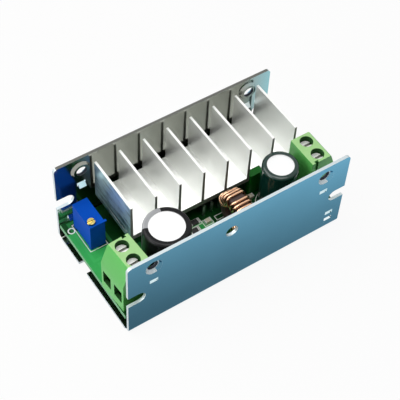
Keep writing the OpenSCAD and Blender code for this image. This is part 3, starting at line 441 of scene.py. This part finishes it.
def axes(tree, vector):
    node = tree.nodes.new("ShaderNodeSeparateXYZ")
    tree.links.new(vector, node.inputs[0])
    return node.outputs


def begin_print(group):
    """What every printed shape has: a centre, a line's width and a mask; gives the way from the centre."""
    vector_socket(group, "Center")
    value_socket(group, "Line", 0.0002, 0.0, 1.0)
    group.interface.new_socket(name="Mask", in_out="OUTPUT", socket_type="NodeSocketFloat")
    given, result = group_nodes(group)
    offset = vector_maths(group, "SUBTRACT", object_place(group), given.outputs["Center"])
    return given, result, offset


def end_print(group, given, result, distance):
    """Marks what lies within half a line's width of the shape."""
    half_line = maths(group, "MULTIPLY", given.outputs["Line"], 0.5)
    mask = maths(group, "LESS_THAN", maths(group, "ABSOLUTE", distance), half_line)
    group.links.new(mask, result.inputs["Mask"])


def make_outline_group():
    """A rectangle's outline on the board, or a straight line where one half size is nought."""
    group = bpy.data.node_groups.new("printed_outline", "ShaderNodeTree")
    vector_socket(group, "Half Size")
    given, result, offset = begin_print(group)
    beside = vector_maths(group, "ABSOLUTE", offset)
    past_edges = axes(group, vector_maths(group, "SUBTRACT", beside, given.outputs["Half Size"]))
    end_print(group, given, result, maths(group, "MAXIMUM", past_edges["X"], past_edges["Y"]))
    return group


def make_ring_group():
    """A ring on the board, round a hole or a round part."""
    group = bpy.data.node_groups.new("printed_ring", "ShaderNodeTree")
    value_socket(group, "Radius", 0.001, 0.0, 1.0)
    given, result, offset = begin_print(group)
    away = vector_maths(group, "LENGTH", vector_maths(group, "MULTIPLY", offset, (1, 1, 0)))
    end_print(group, given, result, maths(group, "SUBTRACT", away, given.outputs["Radius"]))
    return group


def in_metres(size):
    return Vector(size) * MM if isinstance(size, tuple) else size * MM


def printed(tree, group, size_socket, shapes):
    """The masks of printed shapes, each a centre, a size and a line's width in millimetres."""
    masks = []
    for centre, size, line in shapes:
        shape = tree.nodes.new("ShaderNodeGroup")
        shape.node_tree = group
        for socket, value in (("Center", centre), (size_socket, size), ("Line", line)):
            shape.inputs[socket].default_value = in_metres(value)
        masks.append(shape.outputs["Mask"])
    return masks


def either(tree, masks):
    joined = masks[0]
    for mask in masks[1:]:
        joined = maths(tree, "MAXIMUM", joined, mask)
    return joined


board_green = new_material("green_solder_mask", grain_group, {
    "Color": (0.003, 0.045, 0.007, 1), "Mottle Color": (0.006, 0.07, 0.014, 1), "Mottle Scale": 160,
    "Mottle Amount": 0.8, "Grain Scale": 3500, "Gloss Low": 0.22, "Gloss High": 0.36,
}, bump_mm=0.004, specular=0.15)
LARGE_CAPACITOR = (-18.1, -10.6, 0)
SMALL_CAPACITOR = (20.4, -7.9, 0)
WHITE_OUTLINES = (
    ((-29.7, 10.13, 0), (2.7, 5.2, 0), 0.2),
    ((-4.6, -9.6, 0), (3.2, 2.3, 0), 0.2),
    ((-3.1, -1.9, 0), (1.9, 1.1, 0), 0.25),
    ((-4.6, -4.4, 0), (1.9, 1.1, 0), 0.25),
    ((0.3, -3.5, 0), (1.4, 1.0, 0), 0.25),
    ((4.3, -3.6, 0), (1.35, 0.75, 0), 0.25),
    ((13.6, -6.2, 0), (1.1, 2.2, 0), 0.2),
    ((-8.6, -14.2, 0), (3.4, 1.0, 0), 0.2),
)
WHITE_RINGS = (
    ((-33.4, 13.8, 0), 0.9, 0.35),
    (LARGE_CAPACITOR, 6.9, 0.2),
    (SMALL_CAPACITOR, 5.6, 0.2),
)
# Painted light: lighter green fields where the board is lit.
LIT_FIELDS = (
    ((-32.4, 1.8, 0), (0, 8.6, 0), 5.2),
    ((-28.3, -1.7, 0), (0, 3.6, 0), 5.4),
    ((-4.6, -9.1, 0), (0, 0.4, 0), 13.0),
    ((29.5, -3.0, 0), (0, 8.0, 0), 10.0),
)
COPPER_OUTLINES = (
    ((-29.5, 9.0, 0), (3.6, 7.2, 0), 0.9),
    ((-6.0, -10.0, 0), (5.0, 4.0, 0), 0.8),
    ((10.0, -11.0, 0), (9.0, 3.4, 0), 1.2),
    ((27.0, 2.0, 0), (4.0, 9.0, 0), 1.4),
    ((-26.0, -3.0, 0), (6.0, 3.0, 0), 1.6),
)
LIT_COVER = 0.85
TRACK_COVER = 0.35
PRINT_COVER = 0.95
LIT_GREEN = (0.045, 0.42, 0.10, 1)
TRACK_GREEN = (0.06, 0.46, 0.12, 1)
PRINT_WHITE = (0.84, 0.87, 0.82, 1)
SAWN_GREEN = (0.10, 0.40, 0.16, 1)
MASK_DEPTH = 0.05 * MM
outline_group = make_outline_group()
ring_group = make_ring_group()
board_tree = board_green.node_tree
print_masks = printed(board_tree, outline_group, "Half Size", WHITE_OUTLINES)
print_masks += printed(board_tree, ring_group, "Radius", WHITE_RINGS)
lit_masks = printed(board_tree, outline_group, "Half Size", LIT_FIELDS)
track_masks = printed(board_tree, outline_group, "Half Size", COPPER_OUTLINES)
board_low, board_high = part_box("circuit_board")
height = axes(board_tree, object_place(board_tree))["Z"]
on_top = maths(board_tree, "GREATER_THAN", height, board_high.z - MASK_DEPTH)
board_colour = board_tree.nodes["surface"].outputs["Color"]
for masks, cover, colour in (
    (lit_masks, LIT_COVER, LIT_GREEN),
    (track_masks, TRACK_COVER, TRACK_GREEN),
    (print_masks, PRINT_COVER, PRINT_WHITE),
):
    shown = maths(board_tree, "MULTIPLY", either(board_tree, masks), on_top)
    share = maths(board_tree, "MULTIPLY", shown, cover)
    board_colour = blend(board_tree, share, board_colour, colour)
below_top = maths(board_tree, "LESS_THAN", height, board_high.z - MASK_DEPTH)
above_foot = maths(board_tree, "GREATER_THAN", height, board_low.z + MASK_DEPTH)
sawn_edge = maths(board_tree, "MULTIPLY", below_top, above_foot)
board_colour = blend(board_tree, sawn_edge, board_colour, SAWN_GREEN)
board_tree.links.new(board_colour, board_tree.nodes["Principled BSDF"].inputs["Base Color"])
dress(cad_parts["circuit_board"], board_green)


# Heatsink
# One aluminium extrusion cut to length; the saw leaves a matt end face and the fins keep drawing lines.
# It lies on the power devices and is screwed to them from below.

def finished_copy(node_name, body, material, bevel_mm=0.0, smooth_angle=35):
    """A CAD node's copy with small roundings, smooth curves and a finish of its own."""
    piece = merged_copy(node_name, body)
    if bevel_mm:
        round_edges(piece, bevel_mm)
    smooth_curves(piece, smooth_angle)
    dress(piece, material)
    return piece


def add_finish(piece, material, is_chosen):
    """One more finish on a piece, for the faces that the test chooses."""
    piece.data.materials.append(material)
    bpy.context.view_layer.update()
    chosen_faces = [face for face in piece.data.polygons if is_chosen(face)]
    for face in chosen_faces:
        face.material_index = len(piece.data.materials) - 1


extruded_aluminium = new_material("extruded_aluminium", streak_group, {
    "Color": (0.95, 0.96, 0.94, 1), "Tarnish Color": (0.88, 0.90, 0.89, 1), "Stretch": (1, 0.03, 1),
    "Streak Scale": 2600, "Cloud Scale": 80, "Tarnish Amount": 0.8, "Gloss Low": 0.30, "Gloss High": 0.44,
}, bump_mm=0.004, metallic=0.75)
# The sawn end faces, front and back, are matt and dark grey; the dark grey is painted shade.
sawn_aluminium_painted_shade = new_material("sawn_aluminium_painted_shade", streak_group, {
    "Color": (0.26, 0.26, 0.24, 1), "Tarnish Color": (0.15, 0.15, 0.14, 1), "Stretch": (0.2, 1, 1),
    "Streak Scale": 3000, "Cloud Scale": 200, "Tarnish Amount": 0.8, "Gloss Low": 0.5, "Gloss High": 0.7,
}, bump_mm=0.008, metallic=0.6)
# The first fin's left face keeps its drawing lines, with dark teal streaks that are a painted reflection
# of the board and the trimmer beside it.
drawn_flank_painted_reflection = new_material("drawn_flank_painted_reflection", streak_group, {
    "Color": (0.62, 0.86, 0.92, 1), "Tarnish Color": (0.01, 0.08, 0.09, 1), "Stretch": (1, 0.12, 1),
    "Streak Scale": 700, "Cloud Scale": 160, "Tarnish Amount": 0.9, "Contrast": 5,
    "Gloss Low": 0.26, "Gloss High": 0.40,
}, bump_mm=0.1, metallic=0.85)
FLANK_DEPTH = 0.7 * MM
flank_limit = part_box("heatsink")[0].x + FLANK_DEPTH
heatsink = finished_copy("heatsink", "module", extruded_aluminium, bevel_mm=0.08)
add_finish(heatsink, sawn_aluminium_painted_shade, lambda face: abs(face.normal.y) > FACING)
add_finish(heatsink, drawn_flank_painted_reflection, lambda face: face.normal.x < -FACING and face.center.x < flank_limit)


# Power devices
# Two flat moulded devices carry the heatsink over the board on their bent tinned legs, with grey thermal
# pads between. Screws hold them from below, and nylon bushes keep the screws apart from the metal tabs.

thermal_grey = new_material("thermal_pad_grey", grain_group, {
    "Color": (0.25, 0.25, 0.27, 1), "Mottle Color": (0.36, 0.36, 0.38, 1), "Mottle Scale": 500,
    "Mottle Amount": 0.6, "Grain Scale": 3000, "Gloss Low": 0.7, "Gloss High": 0.9,
}, bump_mm=0.02)
dress(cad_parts["thermal_pads"], thermal_grey)

bush_nylon = new_material("white_nylon", grain_group, {
    "Color": (0.72, 0.72, 0.68, 1), "Mottle Color": (0.62, 0.60, 0.55, 1), "Mottle Scale": 400,
    "Mottle Amount": 0.5, "Grain Scale": 3000, "Gloss Low": 0.4, "Gloss High": 0.55,
}, bump_mm=0.01)
dress(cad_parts["insulating_bushes"], bush_nylon)

moulded_black = new_material("moulded_black", grain_group, {
    "Color": (0.018, 0.018, 0.02, 1), "Mottle Color": (0.035, 0.035, 0.038, 1), "Mottle Scale": 700,
    "Mottle Amount": 0.7, "Grain Scale": 5000, "Gloss Low": 0.45, "Gloss High": 0.65,
}, bump_mm=0.01)
tinned_metal = new_material("tinned_metal", streak_group, {
    "Color": (0.72, 0.73, 0.74, 1), "Tarnish Color": (0.45, 0.46, 0.47, 1), "Stretch": (1, 1, 0.3),
    "Streak Scale": 3000, "Cloud Scale": 400, "Tarnish Amount": 0.9, "Gloss Low": 0.2, "Gloss High": 0.4,
}, bump_mm=0.004, metallic=1.0)
for device in ("transistor", "rectifier"):
    dress(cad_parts[device + "_case"], moulded_black)
    dress(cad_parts[device + "_leadframe"], tinned_metal)
dress(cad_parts["heatsink_screws"], tinned_metal)


# Terminal blocks
# Two-pole blocks moulded in light green polyamide, soldered to the board by the pins of their contacts.
# The mould leaves a fine satin grain and soft edges outside; the walls of the wells and entries are
# painted dark as shade, and the top faces are painted lighter as light.

block_green = new_material("block_green_polyamide", grain_group, {
    "Color": (0.095, 0.49, 0.09, 1), "Mottle Color": (0.15, 0.56, 0.14, 1), "Mottle Scale": 220,
    "Mottle Amount": 0.6, "Grain Scale": 4500, "Gloss Low": 0.34, "Gloss High": 0.46,
}, bump_mm=0.010, specular=0.4)
# Painted shade: the walls that look into the wells and entries are dark.
block_painted_shade = new_material("block_green_painted_shade", grain_group, {
    "Color": (0.012, 0.075, 0.012, 1), "Mottle Color": (0.03, 0.11, 0.03, 1), "Mottle Scale": 400,
    "Mottle Amount": 0.6, "Grain Scale": 3000, "Gloss Low": 0.6, "Gloss High": 0.8,
}, bump_mm=0.015, specular=0.15)
# Painted light: the top faces are paler, where light falls on them.
block_top_painted_light = new_material("block_green_painted_light", grain_group, {
    "Color": (0.36, 0.68, 0.26, 1), "Mottle Color": (0.48, 0.77, 0.36, 1), "Mottle Scale": 500,
    "Mottle Amount": 0.8, "Grain Scale": 4500, "Gloss Low": 0.45, "Gloss High": 0.6,
}, bump_mm=0.015, specular=0.4)
HOLLOW_REACH = 8 * MM
LOOK_LIFT = 0.05 * MM
TOP_DEPTH = 0.2 * MM


def looks_into_hollow(piece, face):
    """Whether a face looks at another face of its own piece, as the walls of wells and entries do."""
    start = face.center + face.normal * LOOK_LIFT
    return piece.ray_cast(start, face.normal, distance=HOLLOW_REACH)[0]


for side in ("input", "output"):
    block_name = side + "_terminal_block"
    top_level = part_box(block_name)[1].z - TOP_DEPTH
    block = finished_copy(block_name, "module", block_green, bevel_mm=0.15)
    add_finish(block, block_painted_shade, lambda face: looks_into_hollow(block, face))
    add_finish(block, block_top_painted_light, lambda face: face.normal.z > FACING and face.center.z > top_level)
    dress(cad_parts[side + "_terminal_pins"], tinned_metal)


# Terminal screws and clamps
# Slotted steel screws with bright zinc, captive in the blocks; each turns in a bent sheet cage
# that rises and presses the wire against the fixed contact.

zinc_bright = new_material("bright_zinc", streak_group, {
    "Color": (0.97, 0.98, 0.96, 1), "Tarnish Color": (0.84, 0.85, 0.82, 1), "Stretch": (1, 1, 0.2),
    "Streak Scale": 3500, "Cloud Scale": 500, "Tarnish Amount": 0.7, "Gloss Low": 0.35, "Gloss High": 0.5,
}, bump_mm=0.004, metallic=0.4)
clamp_metal = new_material("yellowed_zinc", streak_group, {
    "Color": (0.62, 0.54, 0.34, 1), "Tarnish Color": (0.40, 0.33, 0.18, 1), "Stretch": (0.2, 1, 1),
    "Streak Scale": 3000, "Cloud Scale": 400, "Tarnish Amount": 0.9, "Gloss Low": 0.22, "Gloss High": 0.4,
}, bump_mm=0.004, metallic=1.0)
# Painted shade: the slots in the screw heads are a darker grey than the heads.
zinc_slot_painted_shade = new_material("zinc_slot_painted_shade", streak_group, {
    "Color": (0.52, 0.52, 0.49, 1), "Tarnish Color": (0.34, 0.34, 0.32, 1), "Stretch": (1, 1, 0.2),
    "Streak Scale": 3500, "Cloud Scale": 500, "Tarnish Amount": 0.8, "Gloss Low": 0.5, "Gloss High": 0.7,
}, bump_mm=0.004, metallic=0.4, specular=0.2)
SLOT_RIM = 0.3 * MM


def in_screw_slot(screw, face, slot_level):
    """Whether a face is the floor or a wall of the slot in a screw's head."""
    slot_floor = face.normal.z > FACING and face.center.z < slot_level
    return slot_floor or looks_into_hollow(screw, face)


for side in ("input", "output"):
    for pole in ("rear", "front"):
        screw_name = f"{side}_screw_{pole}"
        screw_body = f"{side}_{pole}_screw"
        slot_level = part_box(screw_name)[1].z - SLOT_RIM
        screw = finished_copy(screw_name, screw_body, zinc_bright, bevel_mm=0.10)
        add_finish(screw, zinc_slot_painted_shade, lambda face: in_screw_slot(screw, face, slot_level))
        dress(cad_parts[f"{side}_clamp_{pole}"], clamp_metal)


# Capacitors
# Aluminium cans with a rubber bung and a shrunk plastic sleeve, which rolls over the shoulder
# and leaves the can's top bare. Each stands on the board on two tinned leads.

can_aluminium = new_material("can_aluminium", grain_group, {
    "Color": (0.90, 0.91, 0.91, 1), "Mottle Color": (0.82, 0.83, 0.84, 1), "Mottle Scale": 250,
    "Mottle Amount": 0.5, "Grain Scale": 4000, "Gloss Low": 0.3, "Gloss High": 0.42,
}, bump_mm=0.003, metallic=0.9)
rubber_black = new_material("black_rubber", grain_group, {
    "Color": (0.02, 0.02, 0.02, 1), "Mottle Color": (0.04, 0.04, 0.04, 1), "Mottle Scale": 600,
    "Mottle Amount": 0.6, "Grain Scale": 3000, "Gloss Low": 0.7, "Gloss High": 0.9,
}, bump_mm=0.02)
foil_paper = new_material("foil_and_paper", grain_group, {
    "Color": (0.45, 0.36, 0.22, 1), "Mottle Color": (0.58, 0.50, 0.36, 1), "Mottle Scale": 600,
    "Mottle Amount": 0.8, "Grain Scale": 2500, "Gloss Low": 0.6, "Gloss High": 0.8,
}, bump_mm=0.02)
sleeve_black = new_material("black_sleeve", grain_group, {
    "Color": (0.004, 0.004, 0.005, 1), "Mottle Color": (0.010, 0.010, 0.012, 1), "Mottle Scale": 200,
    "Mottle Amount": 0.6, "Grain Scale": 900, "Gloss Low": 0.24, "Gloss High": 0.34,
}, bump_mm=0.008, specular=0.2)
sleeve_green = new_material("dark_green_sleeve", grain_group, {
    "Color": (0.003, 0.026, 0.019, 1), "Mottle Color": (0.006, 0.045, 0.035, 1), "Mottle Scale": 200,
    "Mottle Amount": 0.6, "Grain Scale": 900, "Gloss Low": 0.12, "Gloss High": 0.20,
}, bump_mm=0.008, specular=0.55)
STRIPE_GREY = (0.42, 0.43, 0.45, 1)
STRIPE_TURN = radians(116)
STRIPE_HALF_ANGLE = radians(40)
stripe_way = (cos(STRIPE_TURN), sin(STRIPE_TURN), 0)
sleeve_tree = sleeve_black.node_tree
from_axis = vector_maths(sleeve_tree, "SUBTRACT", object_place(sleeve_tree), in_metres(LARGE_CAPACITOR))
level_way = vector_maths(sleeve_tree, "MULTIPLY", from_axis, (1, 1, 0))
way_round = vector_maths(sleeve_tree, "NORMALIZE", level_way)
closeness = vector_maths(sleeve_tree, "DOT_PRODUCT", way_round, stripe_way)
stripe = maths(sleeve_tree, "GREATER_THAN", closeness, cos(STRIPE_HALF_ANGLE))
striped = blend(sleeve_tree, stripe, sleeve_tree.nodes["surface"].outputs["Color"], STRIPE_GREY)
sleeve_tree.links.new(striped, sleeve_tree.nodes["Principled BSDF"].inputs["Base Color"])
for size, sleeve_material, sleeve_slot in (
    ("large", sleeve_black, "sleeve_black"),
    ("small", sleeve_green, "sleeve_green"),
):
    finished_copy(size + "_capacitor_sleeve", "module", sleeve_material)
    finished_copy(size + "_capacitor_can", "module", can_aluminium)
    dress(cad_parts[size + "_capacitor_bung"], rubber_black)
    dress(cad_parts[size + "_capacitor_roll"], foil_paper)
    dress(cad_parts[size + "_capacitor_leads"], tinned_metal)


# Inductor
# A pressed powder ring core with rounded edges, wound by hand with enamelled copper wire.
# It stands on edge, held by the two ends of its wire in the board.

core_dark = new_material("pressed_powder", grain_group, {
    "Color": (0.030, 0.016, 0.013, 1), "Mottle Color": (0.06, 0.035, 0.03, 1), "Mottle Scale": 900,
    "Mottle Amount": 0.8, "Grain Scale": 5000, "Gloss Low": 0.45, "Gloss High": 0.7,
}, bump_mm=0.03)
finished_copy("inductor_core", "module", core_dark)

enamelled_copper = new_material("enamelled_copper", streak_group, {
    "Color": (0.90, 0.59, 0.39, 1), "Tarnish Color": (0.39, 0.13, 0.06, 1), "Stretch": (0.3, 1, 1),
    "Streak Scale": 2500, "Cloud Scale": 250, "Tarnish Amount": 1.0, "Gloss Low": 0.16, "Gloss High": 0.28,
}, bump_mm=0.004, metallic=1.0)
winding = finished_copy("inductor_winding", "module", enamelled_copper, smooth_angle=80)
rounded_wire = winding.modifiers.new("rounded_wire", "SUBSURF")
rounded_wire.levels = 1
rounded_wire.render_levels = 1
select_only(winding)
bpy.ops.object.modifier_apply(modifier=rounded_wire.name)
bpy.ops.mesh.customdata_custom_splitnormals_clear()
bpy.ops.object.shade_smooth()


# Small choke
# A coil in a moulded green body, which stands on its two leads in a notch of the heatsink's front edge.
# Only its flat top looks out beside the fins.

choke_lacquer = new_material("green_lacquer", grain_group, {
    "Color": (0.003, 0.11, 0.008, 1), "Mottle Color": (0.008, 0.17, 0.015, 1), "Mottle Scale": 500,
    "Mottle Amount": 0.6, "Grain Scale": 1500, "Gloss Low": 0.35, "Gloss High": 0.5,
}, bump_mm=0.015, specular=0.15)
finished_copy("choke_body", "module", choke_lacquer, bevel_mm=0.12)
finished_copy("choke_lead", "module", tinned_metal)


# Trimmer
# A multi-turn trimming resistor: a blue moulded case, potted at the foot, with a slotted brass screw
# that stands out of the top near one corner.

trimmer_blue = new_material("trimmer_blue", grain_group, {
    "Color": (0.001, 0.064, 0.44, 1), "Mottle Color": (0.003, 0.09, 0.56, 1), "Mottle Scale": 250,
    "Mottle Amount": 0.6, "Grain Scale": 4500, "Gloss Low": 0.45, "Gloss High": 0.6,
}, bump_mm=0.01, specular=0.05)
finished_copy("trimmer_case", "module", trimmer_blue, bevel_mm=0.12)
dress(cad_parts["trimmer_pins"], tinned_metal)

screw_brass = new_material("screw_brass", streak_group, {
    "Color": (0.74, 0.60, 0.22, 1), "Tarnish Color": (0.44, 0.32, 0.08, 1), "Stretch": (1, 1, 0.2),
    "Streak Scale": 3500, "Cloud Scale": 500, "Tarnish Amount": 0.8, "Gloss Low": 0.14, "Gloss High": 0.28,
}, bump_mm=0.004, metallic=1.0)
finished_copy("trimmer_screw", "trimmer_adjuster", screw_brass, bevel_mm=0.05)


# Small board parts
# A black moulded controller chip, black chip resistors and pale ceramic chip capacitors, soldered flat on
# the board. Their ends and legs are tinned, drawn in a paler, less metallic copy of the tinned metal as a
# painted highlight, and the pins' joints below the board are tinned.

for node_name in ("controller_chip", "chip_resistors"):
    dress(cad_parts[node_name], moulded_black)
dress(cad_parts["solder_joints"], tinned_metal)

# Painted highlight: a paler, less metallic copy of the tinned metal.
solder_painted_highlight = new_material("bright_solder_painted_highlight", streak_group, {
    "Color": (0.90, 0.91, 0.90, 1), "Tarnish Color": (0.70, 0.71, 0.70, 1), "Stretch": (1, 1, 0.3),
    "Streak Scale": 3000, "Cloud Scale": 400, "Tarnish Amount": 0.7, "Gloss Low": 0.2, "Gloss High": 0.35,
}, bump_mm=0.004, metallic=0.4)
for node_name in ("controller_leads", "chip_ends"):
    dress(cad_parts[node_name], solder_painted_highlight)

chip_ceramic = new_material("chip_ceramic", grain_group, {
    "Color": (0.56, 0.50, 0.40, 1), "Mottle Color": (0.66, 0.61, 0.50, 1), "Mottle Scale": 900,
    "Mottle Amount": 0.6, "Grain Scale": 5000, "Gloss Low": 0.4, "Gloss High": 0.6,
}, bump_mm=0.01)
dress(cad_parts["chip_capacitors"], chip_ceramic)


# Floor, light and camera
# A pale floor that looks white to the camera and in reflections but keeps the part's shadow,
# soft boxes behind, above and at the left, and the camera at the photograph's angle.

FLOOR_SIZE = 6
FLOOR_DROP = 0.02 * MM
PAPER_GREY = (0.82, 0.82, 0.82, 1)
PAPER_ROUGHNESS = 0.9
PAPER_GLOW = 0.93
WHITE = (1, 1, 1, 1)
WHITE_STRENGTH = 1.0
ROOM_COLOUR = (0.95, 0.97, 1.0, 1)
ROOM_STRENGTH = 0.07


def background_share(tree):
    """1 for rays that should see the plain background: from the camera, a mirror surface or glass."""
    path = tree.nodes.new("ShaderNodeLightPath").outputs
    mirror_or_glass = maths(tree, "MAXIMUM", path["Is Glossy Ray"], path["Is Transmission Ray"])
    return maths(tree, "MAXIMUM", path["Is Camera Ray"], mirror_or_glass)


def mix_surfaces(tree, share, first, second, output_name):
    """Shows the second surface in place of the first by the share."""
    mix = tree.nodes.new("ShaderNodeMixShader")
    tree.links.new(share, mix.inputs["Fac"])
    tree.links.new(first, mix.inputs[1])
    tree.links.new(second, mix.inputs[2])
    tree.links.new(mix.outputs["Shader"], tree.nodes[output_name].inputs["Surface"])


bpy.ops.object.select_all(action="DESELECT")
bpy.ops.mesh.primitive_plane_add(size=FLOOR_SIZE, location=(0, 0, -FLOOR_DROP))
floor = bpy.context.object
floor.name = "floor"
floor_paper = bpy.data.materials.new("floor_paper")
floor_paper.use_nodes = True
paper_tree = floor_paper.node_tree
paper = paper_tree.nodes["Principled BSDF"]
paper.inputs["Base Color"].default_value = PAPER_GREY
paper.inputs["Roughness"].default_value = PAPER_ROUGHNESS
glow = paper_tree.nodes.new("ShaderNodeEmission")
glow.inputs["Strength"].default_value = WHITE_STRENGTH
glow_share = maths(paper_tree, "MULTIPLY", background_share(paper_tree), PAPER_GLOW)
mix_surfaces(paper_tree, glow_share, paper.outputs["BSDF"], glow.outputs["Emission"], "Material Output")
floor.data.materials.append(floor_paper)

world = bpy.data.worlds.new("studio")
bpy.context.scene.world = world
world.use_nodes = True
studio_tree = world.node_tree
room = studio_tree.nodes["Background"]
room.inputs["Color"].default_value = ROOM_COLOUR
room.inputs["Strength"].default_value = ROOM_STRENGTH
backdrop = studio_tree.nodes.new("ShaderNodeBackground")
backdrop.inputs["Color"].default_value = WHITE
backdrop.inputs["Strength"].default_value = WHITE_STRENGTH
mix_surfaces(
    studio_tree, background_share(studio_tree), room.outputs["Background"], backdrop.outputs["Background"],
    "World Output",
)

LAMP_AIM = Vector((0, 0, 0.012))
WARM_WHITE = (1.0, 0.99, 0.97)
COOL_WHITE = (0.97, 0.99, 1.0)


def soft_box(name, place, size, power, colour):
    lamp = bpy.data.lights.new(name, "AREA")
    lamp.shape = "SQUARE"
    lamp.size = size
    lamp.energy = power
    lamp.color = colour
    holder = bpy.data.objects.new(name, lamp)
    bpy.context.collection.objects.link(holder)
    holder.location = place
    aim = LAMP_AIM - Vector(place)
    holder.rotation_euler = aim.to_track_quat("-Z", "Y").to_euler()


soft_box("rear_box", place=(-0.34, 0.28, 0.52), size=0.60, power=2.85, colour=WARM_WHITE)
soft_box("top_box", place=(0.0, -0.06, 0.70), size=0.40, power=1.9, colour=WARM_WHITE)
soft_box("left_box", place=(-0.62, 0.02, 0.24), size=0.30, power=1.0, colour=COOL_WHITE)

EYE = Vector((-113.6, -153.5, 264.9)) * MM
TARGET = Vector((0.025, 0.066, 14.90)) * MM
ROLL = radians(3.709)
SENSOR_WIDTH = 36
LENS = 102.89
FRAME_SHIFT = (-0.0023, -0.0085)
NEAREST = 0.01
FARTHEST = 20
forward = (TARGET - EYE).normalized()
level = forward.cross(Vector((0, 0, 1))).normalized()
across = Matrix.Rotation(-ROLL, 3, forward) @ level
upward = across.cross(forward)
turned = Matrix((across, upward, -forward)).transposed()

camera = bpy.data.objects.new("camera", bpy.data.cameras.new("camera"))
bpy.context.collection.objects.link(camera)
camera.matrix_world = Matrix.Translation(EYE) @ turned.to_4x4()
camera.data.sensor_width = SENSOR_WIDTH
camera.data.lens = LENS
camera.data.shift_x, camera.data.shift_y = FRAME_SHIFT
camera.data.clip_start = NEAREST
camera.data.clip_end = FARTHEST
bpy.context.scene.camera = camera
bpy.context.scene.view_settings.view_transform = "Standard"
